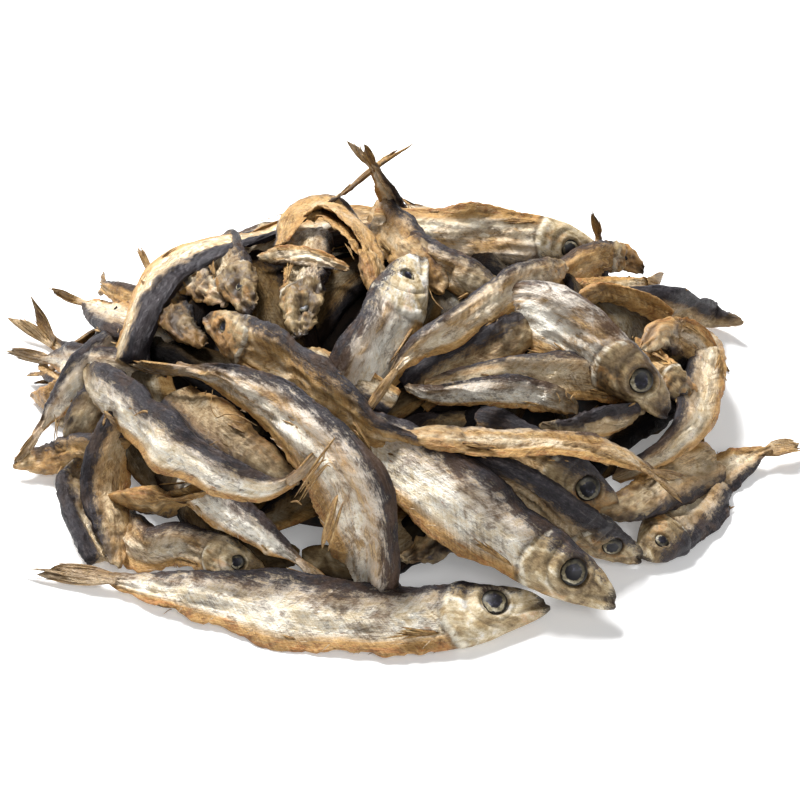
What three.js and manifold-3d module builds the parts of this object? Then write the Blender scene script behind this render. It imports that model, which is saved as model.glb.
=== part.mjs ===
// A loose heap of small dried fish, lying on a flat surface with no dish.
// Millimetres, +Z up. The origin is on the surface, under the heap's middle.
import * as THREE from 'three';
import { mergeVertices } from 'three/addons/utils/BufferGeometryUtils.js';
import Module from 'manifold-3d';

const wasm = await Module();
wasm.setup();

// The picture that the fish are placed by, in pixels, and the view it shows.
const PICTURE = { size: 800, lens: 85, sensor: 36 };
const VIEW = { elevation: 44, distance: 470, aimHeight: 15, nearest: 330, step: 0.1 };

// The mound that the fish lie on: a dome, cut off behind by an even slope that
// rises from a bowed back edge. Sight lines that pass over it stop at an
// upright plane through its ridge.
const MOUND = {
  x: -3, y: 22, radiusX: 88, radiusY: 72, height: 40, shoulder: 0.6, ridgeY: 48,
  backReach: 66, backSlope: 1,
};

// The core is the mound a little smaller, with lumps where fish lie inside.
const CORE = { inset: 10, sink: 5, lump: 1, lumpLength: 34, edge: 0.5, sides: 18, rows: 8 };

// A block under the heap, that cuts it level where it rests.
const FLOOR = { width: 600, depth: 100 };

// The fish's outline: height and thickness as shares of the body's depth, at
// shares of the length from the snout to the end of the tail.
const OUTLINE = {
  at: [0, 0.06, 0.2, 0.4, 0.62, 0.83, 0.97, 1],
  height: [0.1, 0.46, 0.84, 1, 0.7, 0.3, 0.42, 0.4],
  thickness: [0.1, 0.3, 0.44, 0.42, 0.34, 0.18, 0.07, 0.06],
};
const LENGTH_TO_DEPTH = 6.3;
const SIDES = 5;

// What the path of a fish follows: all of it, the end that shows, or a fish
// whose head is gone, from this share of its length on.
const WHOLE = 'whole';
const HEAD = 'head';
const TAIL = 'tail';
const HEADLESS = 'headless';
const HEADLESS_FROM = 0.22;

function fish(depth, back, roll, shown, path) {
  return { depth, back, roll, shown, path };
}

// The fish that the picture shows, by the place where each lies. Depth in mm;
// the side of its back as seen along the body towards the snout; its roll in
// degrees at the snout and the tail, where 0 turns the flank to the viewer
// and 90 the back; and its path from the snout, as pixels right and down, and
// the millimetres that it stands off the mound.
const LEFT = 1;
const RIGHT = -1;
const SHOWN_FISH = {
  front: fish(19, LEFT, [-20, -12], WHOLE,
    [[546, 604, 5], [400, 619, 5], [230, 600, 5], [110, 578, 5], [38, 569, 5]]),
  big_right: fish(18.5, LEFT, [4, 12], HEAD,
    [[615, 602, 9], [515, 541, 9], [460, 503, 8], [405, 465, 5], [350, 425, 0], [310, 390, -6]]),
  curved_dark: fish(20, LEFT, [22, 35], HEADLESS,
    [[366, 580, 0], [366, 548, 6], [350, 490, 11], [316, 443, 11], [268, 402, 10], [215, 377, 9],
      [130, 362, 6]]),
  diag_long: fish(15.5, RIGHT, [10, 50], WHOLE,
    [[207, 316, 8], [245, 342, 8], [300, 377, 8], [350, 412, 7], [392, 441, 7], [490, 456, 9]]),
  left_silver: fish(15, RIGHT, [45, 10], WHOLE,
    [[84, 372, 4], [115, 396, 9], [158, 436, 13], [210, 468, 13], [255, 487, 12], [292, 480, 12],
      [333, 438, 12]]),
  small_head: fish(12, LEFT, [0, 10], HEAD,
    [[266, 579, 5], [243, 567, 6], [213, 554, 6], [180, 545, 5], [150, 548, 3], [126, 528, -1],
      [116, 498, -5]]),
  hollow_left: fish(13, LEFT, [-60, -60], HEAD,
    [[108, 498, 4], [150, 500, 3], [195, 496, 1], [240, 480, -3], [270, 465, -6]]),
  left_down: fish(12, RIGHT, [20, 30], HEAD,
    [[116, 566, 5], [113, 535, 6], [106, 495, 6], [112, 455, 4], [125, 420, 0], [140, 395, -4]]),
  left_dark: fish(11, LEFT, [50, 50], HEAD,
    [[82, 455, 3], [70, 478, 6], [76, 508, 6], [90, 535, 4], [104, 560, 3]]),
  left_head: fish(10, RIGHT, [0, 20], HEAD,
    [[14, 463, 6], [45, 460, 6], [80, 453, 3], [115, 446, 0], [150, 440, -6]]),
  left_silver2: fish(12, LEFT, [10, 10], TAIL,
    [[120, 345, 0], [92, 367, 4], [66, 396, 8], [42, 428, 10], [20, 458, 11]]),
  left_tail1: fish(13, LEFT, [10, 10], TAIL,
    [[150, 378, -4], [110, 368, 2], [75, 362, 7], [42, 358, 11], [12, 352, 13]]),
  left_tail2: fish(12, LEFT, [10, 20], TAIL,
    [[110, 378, -6], [80, 366, 0], [55, 345, 5], [26, 313, 8]]),
  left_tail3: fish(9, RIGHT, [20, 30], TAIL,
    [[110, 400, -6], [85, 392, 0], [60, 380, 3], [34, 367, 5]]),
  left_tail4: fish(13, RIGHT, [20, 30], TAIL,
    [[190, 345, -6], [150, 332, -2], [116, 317, 3], [82, 303, 6], [52, 293, 8]]),
  left_lobe: fish(9, LEFT, [10, 10], TAIL,
    [[160, 330, -6], [138, 305, -1], [118, 292, 3], [98, 284, 4]]),
  left_nub: fish(8, LEFT, [40, 40], TAIL,
    [[172, 320, -6], [157, 288, -2], [148, 266, 0], [142, 250, 2]]),
  left_flank: fish(13, RIGHT, [0, 10], HEAD,
    [[70, 445, 2], [80, 425, 3], [100, 400, 0], [125, 375, -4], [150, 350, -8]]),
  left_orange: fish(9, LEFT, [-30, -10], HEAD,
    [[32, 398, 2], [55, 398, 3], [85, 385, 0], [120, 365, -5]]),
  big_arc: fish(13, LEFT, [42, 95], HEADLESS,
    [[124, 366, 4], [136, 332, 6], [150, 298, 8], [174, 268, 7], [208, 250, 5], [250, 234, 4],
      [296, 216, 4], [340, 196, 4], [364, 175, 4], [391, 150, 4]]),
  open_arch: fish(13, LEFT, [-75, -60], HEAD,
    [[387, 318, 4], [373, 272, 7], [352, 232, 8], [328, 207, 8], [298, 214, 8], [280, 245, 5]]),
  head_up: fish(18, LEFT, [6, 20], HEAD,
    [[421, 257, 7], [404, 287, 8], [390, 322, 8], [372, 356, 6], [350, 392, 0], [335, 420, -6]]),
  top_back: fish(15, RIGHT, [0, 10], HEAD,
    [[602, 256, 2], [560, 243, 2], [510, 236, 2], [455, 234, 2], [405, 230, 0], [370, 228, -2]]),
  right_hero: fish(17.5, LEFT, [4, 6], HEAD,
    [[668, 413, 8], [640, 384, 9], [598, 352, 9], [558, 325, 8], [522, 312, 3], [488, 325, -6],
      [455, 345, -16]]),
  mid_silver: fish(11, LEFT, [5, 15], WHOLE,
    [[566, 266, 5], [530, 281, 8], [492, 302, 9], [452, 330, 9], [415, 350, 9], [390, 378, 9],
      [368, 408, 9]]),
  striped_under: fish(13, LEFT, [10, 10], HEAD,
    [[545, 318, 0], [505, 340, 2], [470, 358, 2], [435, 376, 0], [410, 395, -4]]),
  row_silver: fish(8, LEFT, [8, 15], HEAD,
    [[578, 411, 2], [555, 400, 4], [520, 392, 5], [480, 391, 5], [440, 395, 4], [412, 390, 3],
      [392, 379, -1]]),
  row_tan: fish(11, LEFT, [-10, -5], HEAD,
    [[650, 392, -2], [600, 382, 2], [550, 374, 3], [500, 373, 3], [455, 380, 2], [420, 388, 0]]),
  dark_knob: fish(8, RIGHT, [50, 50], HEAD,
    [[541, 425, 6], [570, 427, 6], [605, 421, 5], [640, 412, 2], [670, 400, -3]]),
  long_tan: fish(9, RIGHT, [-45, -35], HEAD,
    [[396, 434, 7], [440, 438, 9], [495, 444, 11], [550, 447, 11], [600, 453, 12], [645, 470, 13],
      [682, 487, 14]]),
  shade_head: fish(17, LEFT, [0, 10], HEAD,
    [[618, 512, 4], [585, 490, 3], [545, 468, 2], [505, 450, -2], [465, 436, -9]]),
  third_head: fish(14, LEFT, [32, 40], HEAD,
    [[641, 558, 4], [600, 538, 7], [560, 510, 7], [518, 488, 7], [478, 470, 5], [440, 455, 0]]),
  right_olive: fish(12, LEFT, [0, 20], HEAD,
    [[596, 508, 3], [618, 508, 4], [640, 500, 4], [664, 486, 3], [690, 471, 4], [716, 462, 6]]),
  right_fish: fish(16.5, LEFT, [8, 30], WHOLE,
    [[643, 559, 4], [667, 533, 5], [693, 502, 4], [720, 474, 4], [755, 456, 5], [799, 441, 9]]),
  right_side: fish(12, LEFT, [4, 20], HEAD,
    [[704, 330, 4], [706, 365, 6], [698, 408, 7], [674, 442, 6], [642, 464, 0], [610, 480, -8]]),
  right_white: fish(10, LEFT, [0, 10], HEAD,
    [[643, 350, 3], [664, 334, 6], [690, 342, 6], [706, 366, 3], [708, 398, -4]]),
  right_dark: fish(11, LEFT, [40, 30], HEAD,
    [[742, 321, 10], [706, 315, 7], [672, 304, 4], [640, 298, 2], [605, 300, -4]]),
  right_head_back: fish(10, LEFT, [0, 10], HEAD,
    [[644, 270, 5], [620, 258, 5], [592, 262, 4], [565, 280, -3], [545, 300, -8]]),
  right_tail_back: fish(10, LEFT, [10, 10], TAIL,
    [[575, 300, -6], [605, 290, -1], [640, 282, 3], [668, 284, 6]]),
  back_nub: fish(9, LEFT, [10, 10], TAIL,
    [[590, 290, -6], [594, 262, -1], [598, 238, 2], [594, 218, 4]]),
  right_tan: fish(8, LEFT, [-50, -40], HEAD,
    [[570, 300, 0], [605, 292, 2], [640, 305, 3], [668, 322, 3]]),
  low_head: fish(10, RIGHT, [10, 10], HEAD,
    [[699, 400, 4], [676, 385, 4], [650, 365, 0], [620, 350, -10]]),
  centre_head: fish(13, LEFT, [15, 10], HEAD,
    [[300, 336, 3], [302, 300, 3], [306, 265, 0], [312, 235, -8]]),
  left_mid_head: fish(13, LEFT, [10, 10], HEAD,
    [[252, 312, 3], [238, 286, 4], [226, 264, 1], [218, 250, -6]]),
  white_bits: fish(9, LEFT, [0, 0], HEAD,
    [[226, 300, 1], [202, 288, 2], [186, 272, 0], [177, 262, -6]]),
  top_tail: fish(8.5, LEFT, [20, 40], TAIL,
    [[430, 275, -6], [410, 240, 0], [394, 210, 4], [381, 180, 6], [360, 147, 8]]),
  behind_top: fish(13, LEFT, [0, 10], HEAD,
    [[445, 290, 0], [420, 262, 3], [396, 236, 3], [370, 212, 0]]),
  centre_flank: fish(12, LEFT, [0, 10], HEAD,
    [[510, 305, 2], [475, 282, 4], [440, 266, 4], [405, 255, 0]]),
  centre_blue: fish(8, LEFT, [10, 10], HEAD,
    [[300, 350, -2], [335, 370, 4], [365, 386, 5], [395, 405, 3]]),
  mid_flank: fish(12.5, RIGHT, [0, 10], HEAD,
    [[296, 486, 2], [246, 452, 3], [205, 421, 3], [172, 392, 0]]),
  floor_mid: fish(11.5, RIGHT, [10, 0], TAIL,
    [[185, 470, 0], [225, 508, 4], [265, 536, 5], [300, 562, 5], [334, 592, 9]]),
  shadow_lump: fish(12, LEFT, [40, 40], HEAD,
    [[400, 560, 1], [430, 545, 0], [462, 520, -3], [490, 500, -8]]),
  cream_bar: fish(5, LEFT, [0, 0], HEAD,
    [[258, 258, 2], [286, 255, 5], [316, 259, 6], [350, 270, 3]]),
  brown_left: fish(12, LEFT, [-30, -20], HEAD,
    [[205, 345, 0], [180, 325, 2], [168, 300, 2], [165, 270, -3]]),
};

// The hidden back is covered by a rule: rows of fish that lie round the mound
// at shares of its radius, between two bearings, counted from +X. Where they
// come in front of its ridge they dip down into the heap.
const BACK_ROWS = [
  { share: 0.38, count: 5, bearings: [35, 145], lift: -2 },
  { share: 0.62, count: 7, bearings: [20, 160], lift: -1 },
  { share: 0.86, count: 9, bearings: [14, 166], lift: 0 },
];
const BACK_FISH = {
  spacing: [0.2, 0.8], length: [84, 112], depth: [13, 16.5], roll: [-20, 35], turn: 36, bend: 16,
  reach: 0.98, dip: 0.4, lowest: 2, points: 6, seed: 7,
};

// The multiplier and the modulus of the seeded draws.
const DRAW = { step: 16807, size: 2147483647 };

// Places of the ball closer than this to its middle plane count as on it.
const ROUNDING = 1e-6;

const radians = THREE.MathUtils.degToRad;

const sight = new THREE.Vector3(0, Math.cos(radians(VIEW.elevation)), -Math.sin(radians(VIEW.elevation)));
const imageUp = new THREE.Vector3(0, Math.sin(radians(VIEW.elevation)), Math.cos(radians(VIEW.elevation)));
const eye = new THREE.Vector3(0, 0, VIEW.aimHeight).addScaledVector(sight, -VIEW.distance);
const pixelsPerUnit = (PICTURE.size * PICTURE.lens) / PICTURE.sensor;

function domeHeight(x, y) {
  const across = (x - MOUND.x) / MOUND.radiusX;
  const along = (y - MOUND.y) / MOUND.radiusY;
  return MOUND.height * Math.max(0, 1 - across ** 2 - along ** 2) ** MOUND.shoulder;
}

function backEdge(x) {
  return MOUND.y + MOUND.backReach * (1 - ((x - MOUND.x) / MOUND.radiusX) ** 2);
}

function moundHeight(x, y) {
  return Math.max(0, Math.min(domeHeight(x, y), MOUND.backSlope * (backEdge(x) - y)));
}

function moundNormal(x, y) {
  const reach = 1;
  const slopeX = (moundHeight(x + reach, y) - moundHeight(x - reach, y)) / (2 * reach);
  const slopeY = (moundHeight(x, y + reach) - moundHeight(x, y - reach)) / (2 * reach);
  return new THREE.Vector3(-slopeX, -slopeY, 1).normalize();
}

// Where the sight line through a pixel meets the dome, moved back towards the
// eye by the lift.
function placeByPixel([right, down, lift]) {
  const ray = sight.clone()
    .addScaledVector(new THREE.Vector3(1, 0, 0), (right - PICTURE.size / 2) / pixelsPerUnit)
    .addScaledVector(imageUp, (PICTURE.size / 2 - down) / pixelsPerUnit);
  const point = eye.clone().addScaledVector(ray, VIEW.nearest);
  while (point.z > domeHeight(point.x, point.y) && point.y < MOUND.ridgeY) {
    point.addScaledVector(ray, VIEW.step);
  }
  return point.addScaledVector(ray, -lift);
}

function lookUp(values, at) {
  const stops = OUTLINE.at;
  let next = 1;
  while (next < stops.length - 1 && stops[next] < at) next += 1;
  const share = (at - stops[next - 1]) / (stops[next] - stops[next - 1]);
  return THREE.MathUtils.lerp(values[next - 1], values[next], THREE.MathUtils.clamp(share, 0, 1));
}

// The stretch of the whole fish that a path of this length follows.
function stretchShown(length, { depth, shown }) {
  const share = Math.min(1, length / (LENGTH_TO_DEPTH * depth));
  if (shown === HEAD) return [0, share];
  if (shown === TAIL) return [1 - share, 1];
  return [shown === HEADLESS ? HEADLESS_FROM : 0, 1];
}

// One fish round a spine, its flank turned to the direction that facing gives.
// The vertices of a ball become its rings, and the ball's poles its two ends.
function fishGeometry(points, facing, row) {
  const spine = new THREE.CatmullRomCurve3(points, false, 'catmullrom');
  const [start, end] = stretchShown(spine.getLength(), row);
  const rings = OUTLINE.at.length - 1;
  const geometry = roundBall(SIDES, rings);
  const position = geometry.attributes.position;
  const frames = OUTLINE.at.map((at) => {
    const centre = spine.getPointAt(at);
    const ahead = spine.getTangentAt(at).negate();
    const out = facing(centre).projectOnPlane(ahead).normalize();
    const side = new THREE.Vector3().crossVectors(out, ahead).multiplyScalar(row.back);
    const roll = radians(THREE.MathUtils.lerp(row.roll[0], row.roll[1], at));
    const back = side.multiplyScalar(Math.cos(roll)).addScaledVector(out, Math.sin(roll));
    const flank = new THREE.Vector3().crossVectors(back, ahead);
    const share = THREE.MathUtils.lerp(start, end, at);
    back.multiplyScalar((lookUp(OUTLINE.height, share) * row.depth) / 2);
    flank.multiplyScalar((lookUp(OUTLINE.thickness, share) * row.depth) / 2);
    const low = centre.z - Math.hypot(back.z, flank.z);
    if (low < 0) centre.addScaledVector(sight, low / -sight.z);
    return { centre, back, flank };
  });
  for (let i = 0; i < position.count; i += 1) {
    const ball = new THREE.Vector3().fromBufferAttribute(position, i);
    const ring = Math.round((Math.acos(THREE.MathUtils.clamp(ball.y, -1, 1)) / Math.PI) * rings);
    const { centre, back, flank } = frames[ring];
    const rim = Math.hypot(ball.x, ball.z);
    const point = centre.clone();
    if (ring > 0 && ring < rings) {
      point.addScaledVector(back, ball.x / rim).addScaledVector(flank, ball.z / rim);
    }
    position.setXYZ(i, point.x, point.y, point.z);
  }
  return geometry;
}

// A geometry with its places alone, each corner kept once.
function bare(geometry) {
  geometry.deleteAttribute('normal');
  geometry.deleteAttribute('uv');
  return mergeVertices(geometry);
}

function roundBall(sides, rows) {
  return bare(new THREE.SphereGeometry(1, sides, rows));
}

function solid(geometry) {
  return new wasm.Manifold(new wasm.Mesh({
    numProp: 3,
    vertProperties: new Float32Array(geometry.attributes.position.array),
    triVerts: new Uint32Array(geometry.index.array),
  }));
}

// Seeded draws, the same on every run.
function drawFrom(seed) {
  let state = seed;
  return (low, high) => {
    state = (state * DRAW.step) % DRAW.size;
    return low + (high - low) * (state / DRAW.size);
  };
}

// The upper half of a ball becomes the core's top, and the lower half a shallow
// bowl that reaches below the floor.
function coreGeometry() {
  const ball = roundBall(CORE.sides, CORE.rows);
  const position = ball.attributes.position;
  const lowered = 1 - CORE.sink / MOUND.height;
  const lumpTurn = (2 * Math.PI) / CORE.lumpLength;
  for (let i = 0; i < position.count; i += 1) {
    const [across, along, up] = [position.getX(i), -position.getZ(i), position.getY(i)];
    const x = MOUND.x + across * (MOUND.radiusX - CORE.inset);
    const y = MOUND.y + along * (MOUND.radiusY - CORE.inset);
    const mound = moundHeight(MOUND.x + across * MOUND.radiusX, MOUND.y + along * MOUND.radiusY);
    const lump = CORE.lump * (Math.sin(x * lumpTurn) + Math.cos(y * lumpTurn));
    const top = Math.max(CORE.edge, mound * lowered + lump);
    position.setXYZ(i, x, y, up > ROUNDING ? top : Math.min(0, up) * CORE.sink);
  }
  return ball;
}

// Draws a place that lies past the mound's rim in to it.
function insideRim(x, y) {
  const offset = new THREE.Vector2((x - MOUND.x) / MOUND.radiusX, (y - MOUND.y) / MOUND.radiusY);
  offset.clampLength(0, BACK_FISH.reach);
  const inside = MOUND.x + offset.x * MOUND.radiusX;
  return { x: inside, y: Math.min(MOUND.y + offset.y * MOUND.radiusY, backEdge(inside)) };
}

function backFish() {
  const draw = drawFrom(BACK_FISH.seed);
  const found = [];
  for (const { share, count, bearings, lift } of BACK_ROWS) {
    for (let i = 0; i < count; i += 1) {
      const place = (i + draw(...BACK_FISH.spacing)) / count;
      const bearing = radians(THREE.MathUtils.lerp(...bearings, place));
      const length = draw(...BACK_FISH.length);
      const flip = draw(-1, 1) < 0 ? 0 : Math.PI;
      const heading = bearing + Math.PI / 2 + flip + radians(draw(-BACK_FISH.turn, BACK_FISH.turn));
      const bend = radians(draw(-BACK_FISH.bend, BACK_FISH.bend));
      const middle = new THREE.Vector2(
        MOUND.x + share * MOUND.radiusX * Math.cos(bearing),
        MOUND.y + share * MOUND.backReach * Math.sin(bearing),
      );
      const points = [];
      for (let k = 0; k < BACK_FISH.points; k += 1) {
        const along = k / (BACK_FISH.points - 1) - 0.5;
        const turn = heading + bend * along;
        const { x, y } = insideRim(
          middle.x + along * length * Math.cos(turn),
          middle.y + along * length * Math.sin(turn),
        );
        const height = moundHeight(x, y) + lift - BACK_FISH.dip * Math.max(0, MOUND.ridgeY - y);
        points.push(new THREE.Vector3(x, y, Math.max(BACK_FISH.lowest, height)));
      }
      const depth = draw(...BACK_FISH.depth);
      const roll = [draw(...BACK_FISH.roll), draw(...BACK_FISH.roll)];
      const back = draw(-1, 1) < 0 ? LEFT : RIGHT;
      found.push({ points, row: fish(depth, back, roll, WHOLE, null) });
    }
  }
  return found;
}

function toEye(point) {
  return eye.clone().sub(point);
}

function outward(point) {
  return moundNormal(point.x, point.y);
}

// All the fish and the core as one solid, cut level where it rests. What the
// joining leaves loose is dropped, and what it shuts in is filled.
function heapSolid() {
  let joined = solid(coreGeometry());
  for (const row of Object.values(SHOWN_FISH)) {
    joined = joined.add(solid(fishGeometry(row.path.map(placeByPixel), toEye, row)));
  }
  for (const { points, row } of backFish()) {
    joined = joined.add(solid(fishGeometry(points, outward, row)));
  }
  const floor = new THREE.BoxGeometry(FLOOR.width, FLOOR.width, FLOOR.depth);
  joined = joined.subtract(solid(bare(floor.translate(0, 0, -FLOOR.depth / 2))));
  const pieces = joined.decompose().sort((a, b) => b.volume() - a.volume());
  return pieces[0];
}

function geometryOf(piece) {
  const { vertProperties, triVerts } = piece.getMesh();
  const geometry = new THREE.BufferGeometry();
  geometry.setAttribute('position', new THREE.BufferAttribute(vertProperties, 3));
  geometry.setIndex(new THREE.BufferAttribute(triVerts, 1));
  geometry.computeVertexNormals();
  return geometry;
}

const driedSkin = new THREE.MeshStandardMaterial({ color: 0xa48a68, roughness: 0.5, metalness: 0 });

const heap = new THREE.Group();
const fishHeap = new THREE.Mesh(geometryOf(heapSolid()), driedSkin);
fishHeap.name = 'fish_heap';
heap.add(fishHeap);

export default heap;
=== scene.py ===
"""The looks of a loose heap of small dried fish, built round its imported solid."""
import math

import bpy
import numpy as np
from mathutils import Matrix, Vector


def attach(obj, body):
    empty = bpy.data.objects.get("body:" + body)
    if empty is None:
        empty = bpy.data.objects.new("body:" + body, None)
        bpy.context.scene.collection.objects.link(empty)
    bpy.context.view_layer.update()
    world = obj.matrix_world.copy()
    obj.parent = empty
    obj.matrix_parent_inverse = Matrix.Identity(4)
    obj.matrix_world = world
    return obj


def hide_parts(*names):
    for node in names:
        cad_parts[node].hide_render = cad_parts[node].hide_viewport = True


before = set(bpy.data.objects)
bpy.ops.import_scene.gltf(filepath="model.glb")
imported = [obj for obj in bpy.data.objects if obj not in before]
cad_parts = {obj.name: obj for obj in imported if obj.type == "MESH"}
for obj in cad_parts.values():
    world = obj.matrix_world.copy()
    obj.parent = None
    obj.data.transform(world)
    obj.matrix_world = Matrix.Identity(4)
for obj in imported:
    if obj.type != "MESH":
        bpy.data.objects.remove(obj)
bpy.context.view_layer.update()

# Lengths are in millimetres until a mesh is made. No point lies lower than the
# gap off the floor.
MM = 0.001
FLOOR_GAP = 0.05
NODE = "fish_heap"

# The view that the fish are placed by: degrees, millimetres and pixels.
PICTURE = 800
LENS, SENSOR = 85, 36
ELEVATION, DISTANCE, AIM_HEIGHT = math.radians(44), 470, 15
NEAREST, FARTHEST, SIGHT_STEP = 330, 800, 0.1
SIGHT = np.array([0, math.cos(ELEVATION), -math.sin(ELEVATION)])
IMAGE_UP = np.array([0, math.sin(ELEVATION), math.cos(ELEVATION)])
EYE = np.array([0, 0, AIM_HEIGHT]) - SIGHT * DISTANCE
PIXELS = PICTURE * LENS / SENSOR

# The mound that the fish lie on: a dome with a steep shoulder, whose far side
# falls off in a straight slope behind the ridge.
MOUND_X, MOUND_Y, MOUND_RADIUS_X, MOUND_RADIUS_Y, MOUND_HEIGHT = -3, 22, 88, 72, 40
SHOULDER, RIDGE_Y = 0.6, 48
BACK_REACH, BACK_SLOPE = 66, 1

# The fish's outline: height and thickness as shares of the body's depth, at
# shares of the length from the snout to the end of the tail.
LENGTH_TO_DEPTH = 6.3
TAIL_ROOT = 0.875
OUTLINE_AT = [0, .012, .03, .06, .1, .15, .2, .27, .37, .47, .57, .67, .76, .83, .9, 1]
HEIGHT = [.1, .22, .36, .52, .66, .78, .86, .94, 1, .95, .82, .64, .46, .33, .27, .27]
THICKNESS = [.05, .11, .17, .26, .34, .39, .4, .38, .36, .34, .3, .25, .19, .13, .09, .08]

# A dried body's section: its thickness from the belly's keel to the back.
SECTION_AT = [-1, -.97, -.9, -.75, -.5, -.2, .1, .4, .65, .85, .95, 1]
SECTION = [0, .15, .2, .28, .46, .7, .92, 1.04, 1, .74, .44, 0]

# Places on the head, in body depths: along from the snout and up from the
# middle line.
EYE_AT, EYE_RADIUS = np.array([0.64, 0.05]), 0.165
GILL_AT, GILL_RADIUS = np.array([0.76, -0.02]), 0.54
CHEEK_AT, CHEEK_RADIUS = np.array([0.62, 0.10]), 0.37
MOUTH_FROM, MOUTH_TO = np.array([-0.05, 0.03]), np.array([0.36, -0.13])

# Rings along a fish and points round it, for each kind; and how many of the
# fine fish come first, as one piece.
FINE, PLAIN, BACK, DEEP = (140, 76), (86, 40), (76, 32), (44, 20)
LARGE_FISH = 8

# Rings along a tail's blade and points round it; where it leaves the body, as
# a share of the fish's length; how much of a fin's look it has; the spread
# under which its two lobes are one; how far off the floor its middle stays, in
# body depths; and its rays, each of a few points.
BLADE = (16, 30)
TAIL_FROM, TAIL_FIN, CLOSED_TAIL = 0.835, 0.6, 0.3
BLADE_LIFT = 0.06
RAYS, RAY_STEPS = 8, 7

# The other fins: where they grow, as a share of the length and in depths up
# from the middle line; their rays; how long these are and half how wide, in
# depths; how they lean and how far they open, in radians; and their lift off
# the skin in mm.
PAIRED_FINS = [
    dict(share=0.21, up=-0.27, rays=8, length=0.6, lean=0.02, opening=0.12, width=0.03, lift=0.12),
    dict(share=0.47, up=-0.36, rays=4, length=0.2, lean=0.0, opening=0.15, width=0.022, lift=0.1),
]
SINGLE_FINS = [
    dict(share=0.46, up=0.44, rays=7, length=0.34, lean=0.1, opening=0.16, width=0.024, lift=0.05),
    dict(share=0.72, up=-0.19, rays=5, length=0.2, lean=-0.12, opening=0.25, width=0.02, lift=0.05),
]
BRISTLES = 36

# Rows of points on an eyeball and points round it; how large it is and how far
# it bulges, in radii; and how deep its middle lies under the skin, in mm.
EYE_BALL = (12, 24)
EYE_SWELL, EYE_BULGE, EYE_SUNK = 1.02, 0.3, 0.62

# Values on the mesh for a place that isn't on a head.
OFF_HEAD = [1.0, 0.0, 9.0]

# How far a body twists along its length, in degrees to either side.
TWIST = 9

# The depth of the fish that the relief's heights are written for; how far
# apart two fish lie in the skin's pattern; and the step to the seeds of a
# fish's other side.
MODEL_DEPTH, SKIN_OFFSET, OTHER_SIDE = 18, 200, 500

# The dark core, painted shade between the fish: how far it stays inside the
# mound at the sides and on top, how lumpy it is and how low it goes, in mm;
# and its rows and points round.
CORE_INSET, CORE_SINK, CORE_LUMP, CORE_LOWEST = 19, 8, 2.0, 0.5
CORE_ROWS, CORE_AROUND = 40, 120

# Strips, rays and bristles have three sides. Those that grow from the skin have
# a few points each, and torn fibres have every fourth point of their line. Half
# their thickness in mm.
STRIP_SIDES, STRIP_POINTS, FIBRE_EVERY = 3, 6, 4
STRIP_THICK, FIBRE_THICK = 0.13, 0.17

# The strength of the white tent; the lamps by place and size in metres and
# power in watts; and the place that they point at.
TENT_LIGHT = 0.19
LAMPS = [("key", (-0.7, 1.1, 1.9), 0.7, 112), ("front", (0.6, -1.5, 2.0), 1.2, 20)]
LAMPS_AIM = (0, 0, 0.02)

# The side of a fish's back, and the part of it that shows. One without a head
# starts behind the gill covers.
LEFT, RIGHT = 1, -1
WHOLE, HEAD, TAIL, HEADLESS = "whole", "head", "tail", "headless"
HEADLESS_FROM = 0.22


def fish(depth, back, roll, shown, tone, path, spread=0.5, eye=0.0, opened=0.0, ragged=0.45,
         crumple=1.0, shade=1.0, coarse=0.75, pale=0.35, fine=False):
    """A row of the table: where a fish lies, and how its skin has dried."""
    return dict(depth=depth, back=back, roll=roll, shown=shown, tone=tone, path=path, spread=spread,
                eye=eye, opened=opened, ragged=ragged, crumple=crumple, shade=shade, coarse=coarse,
                pale=pale, fine=fine)
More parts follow.
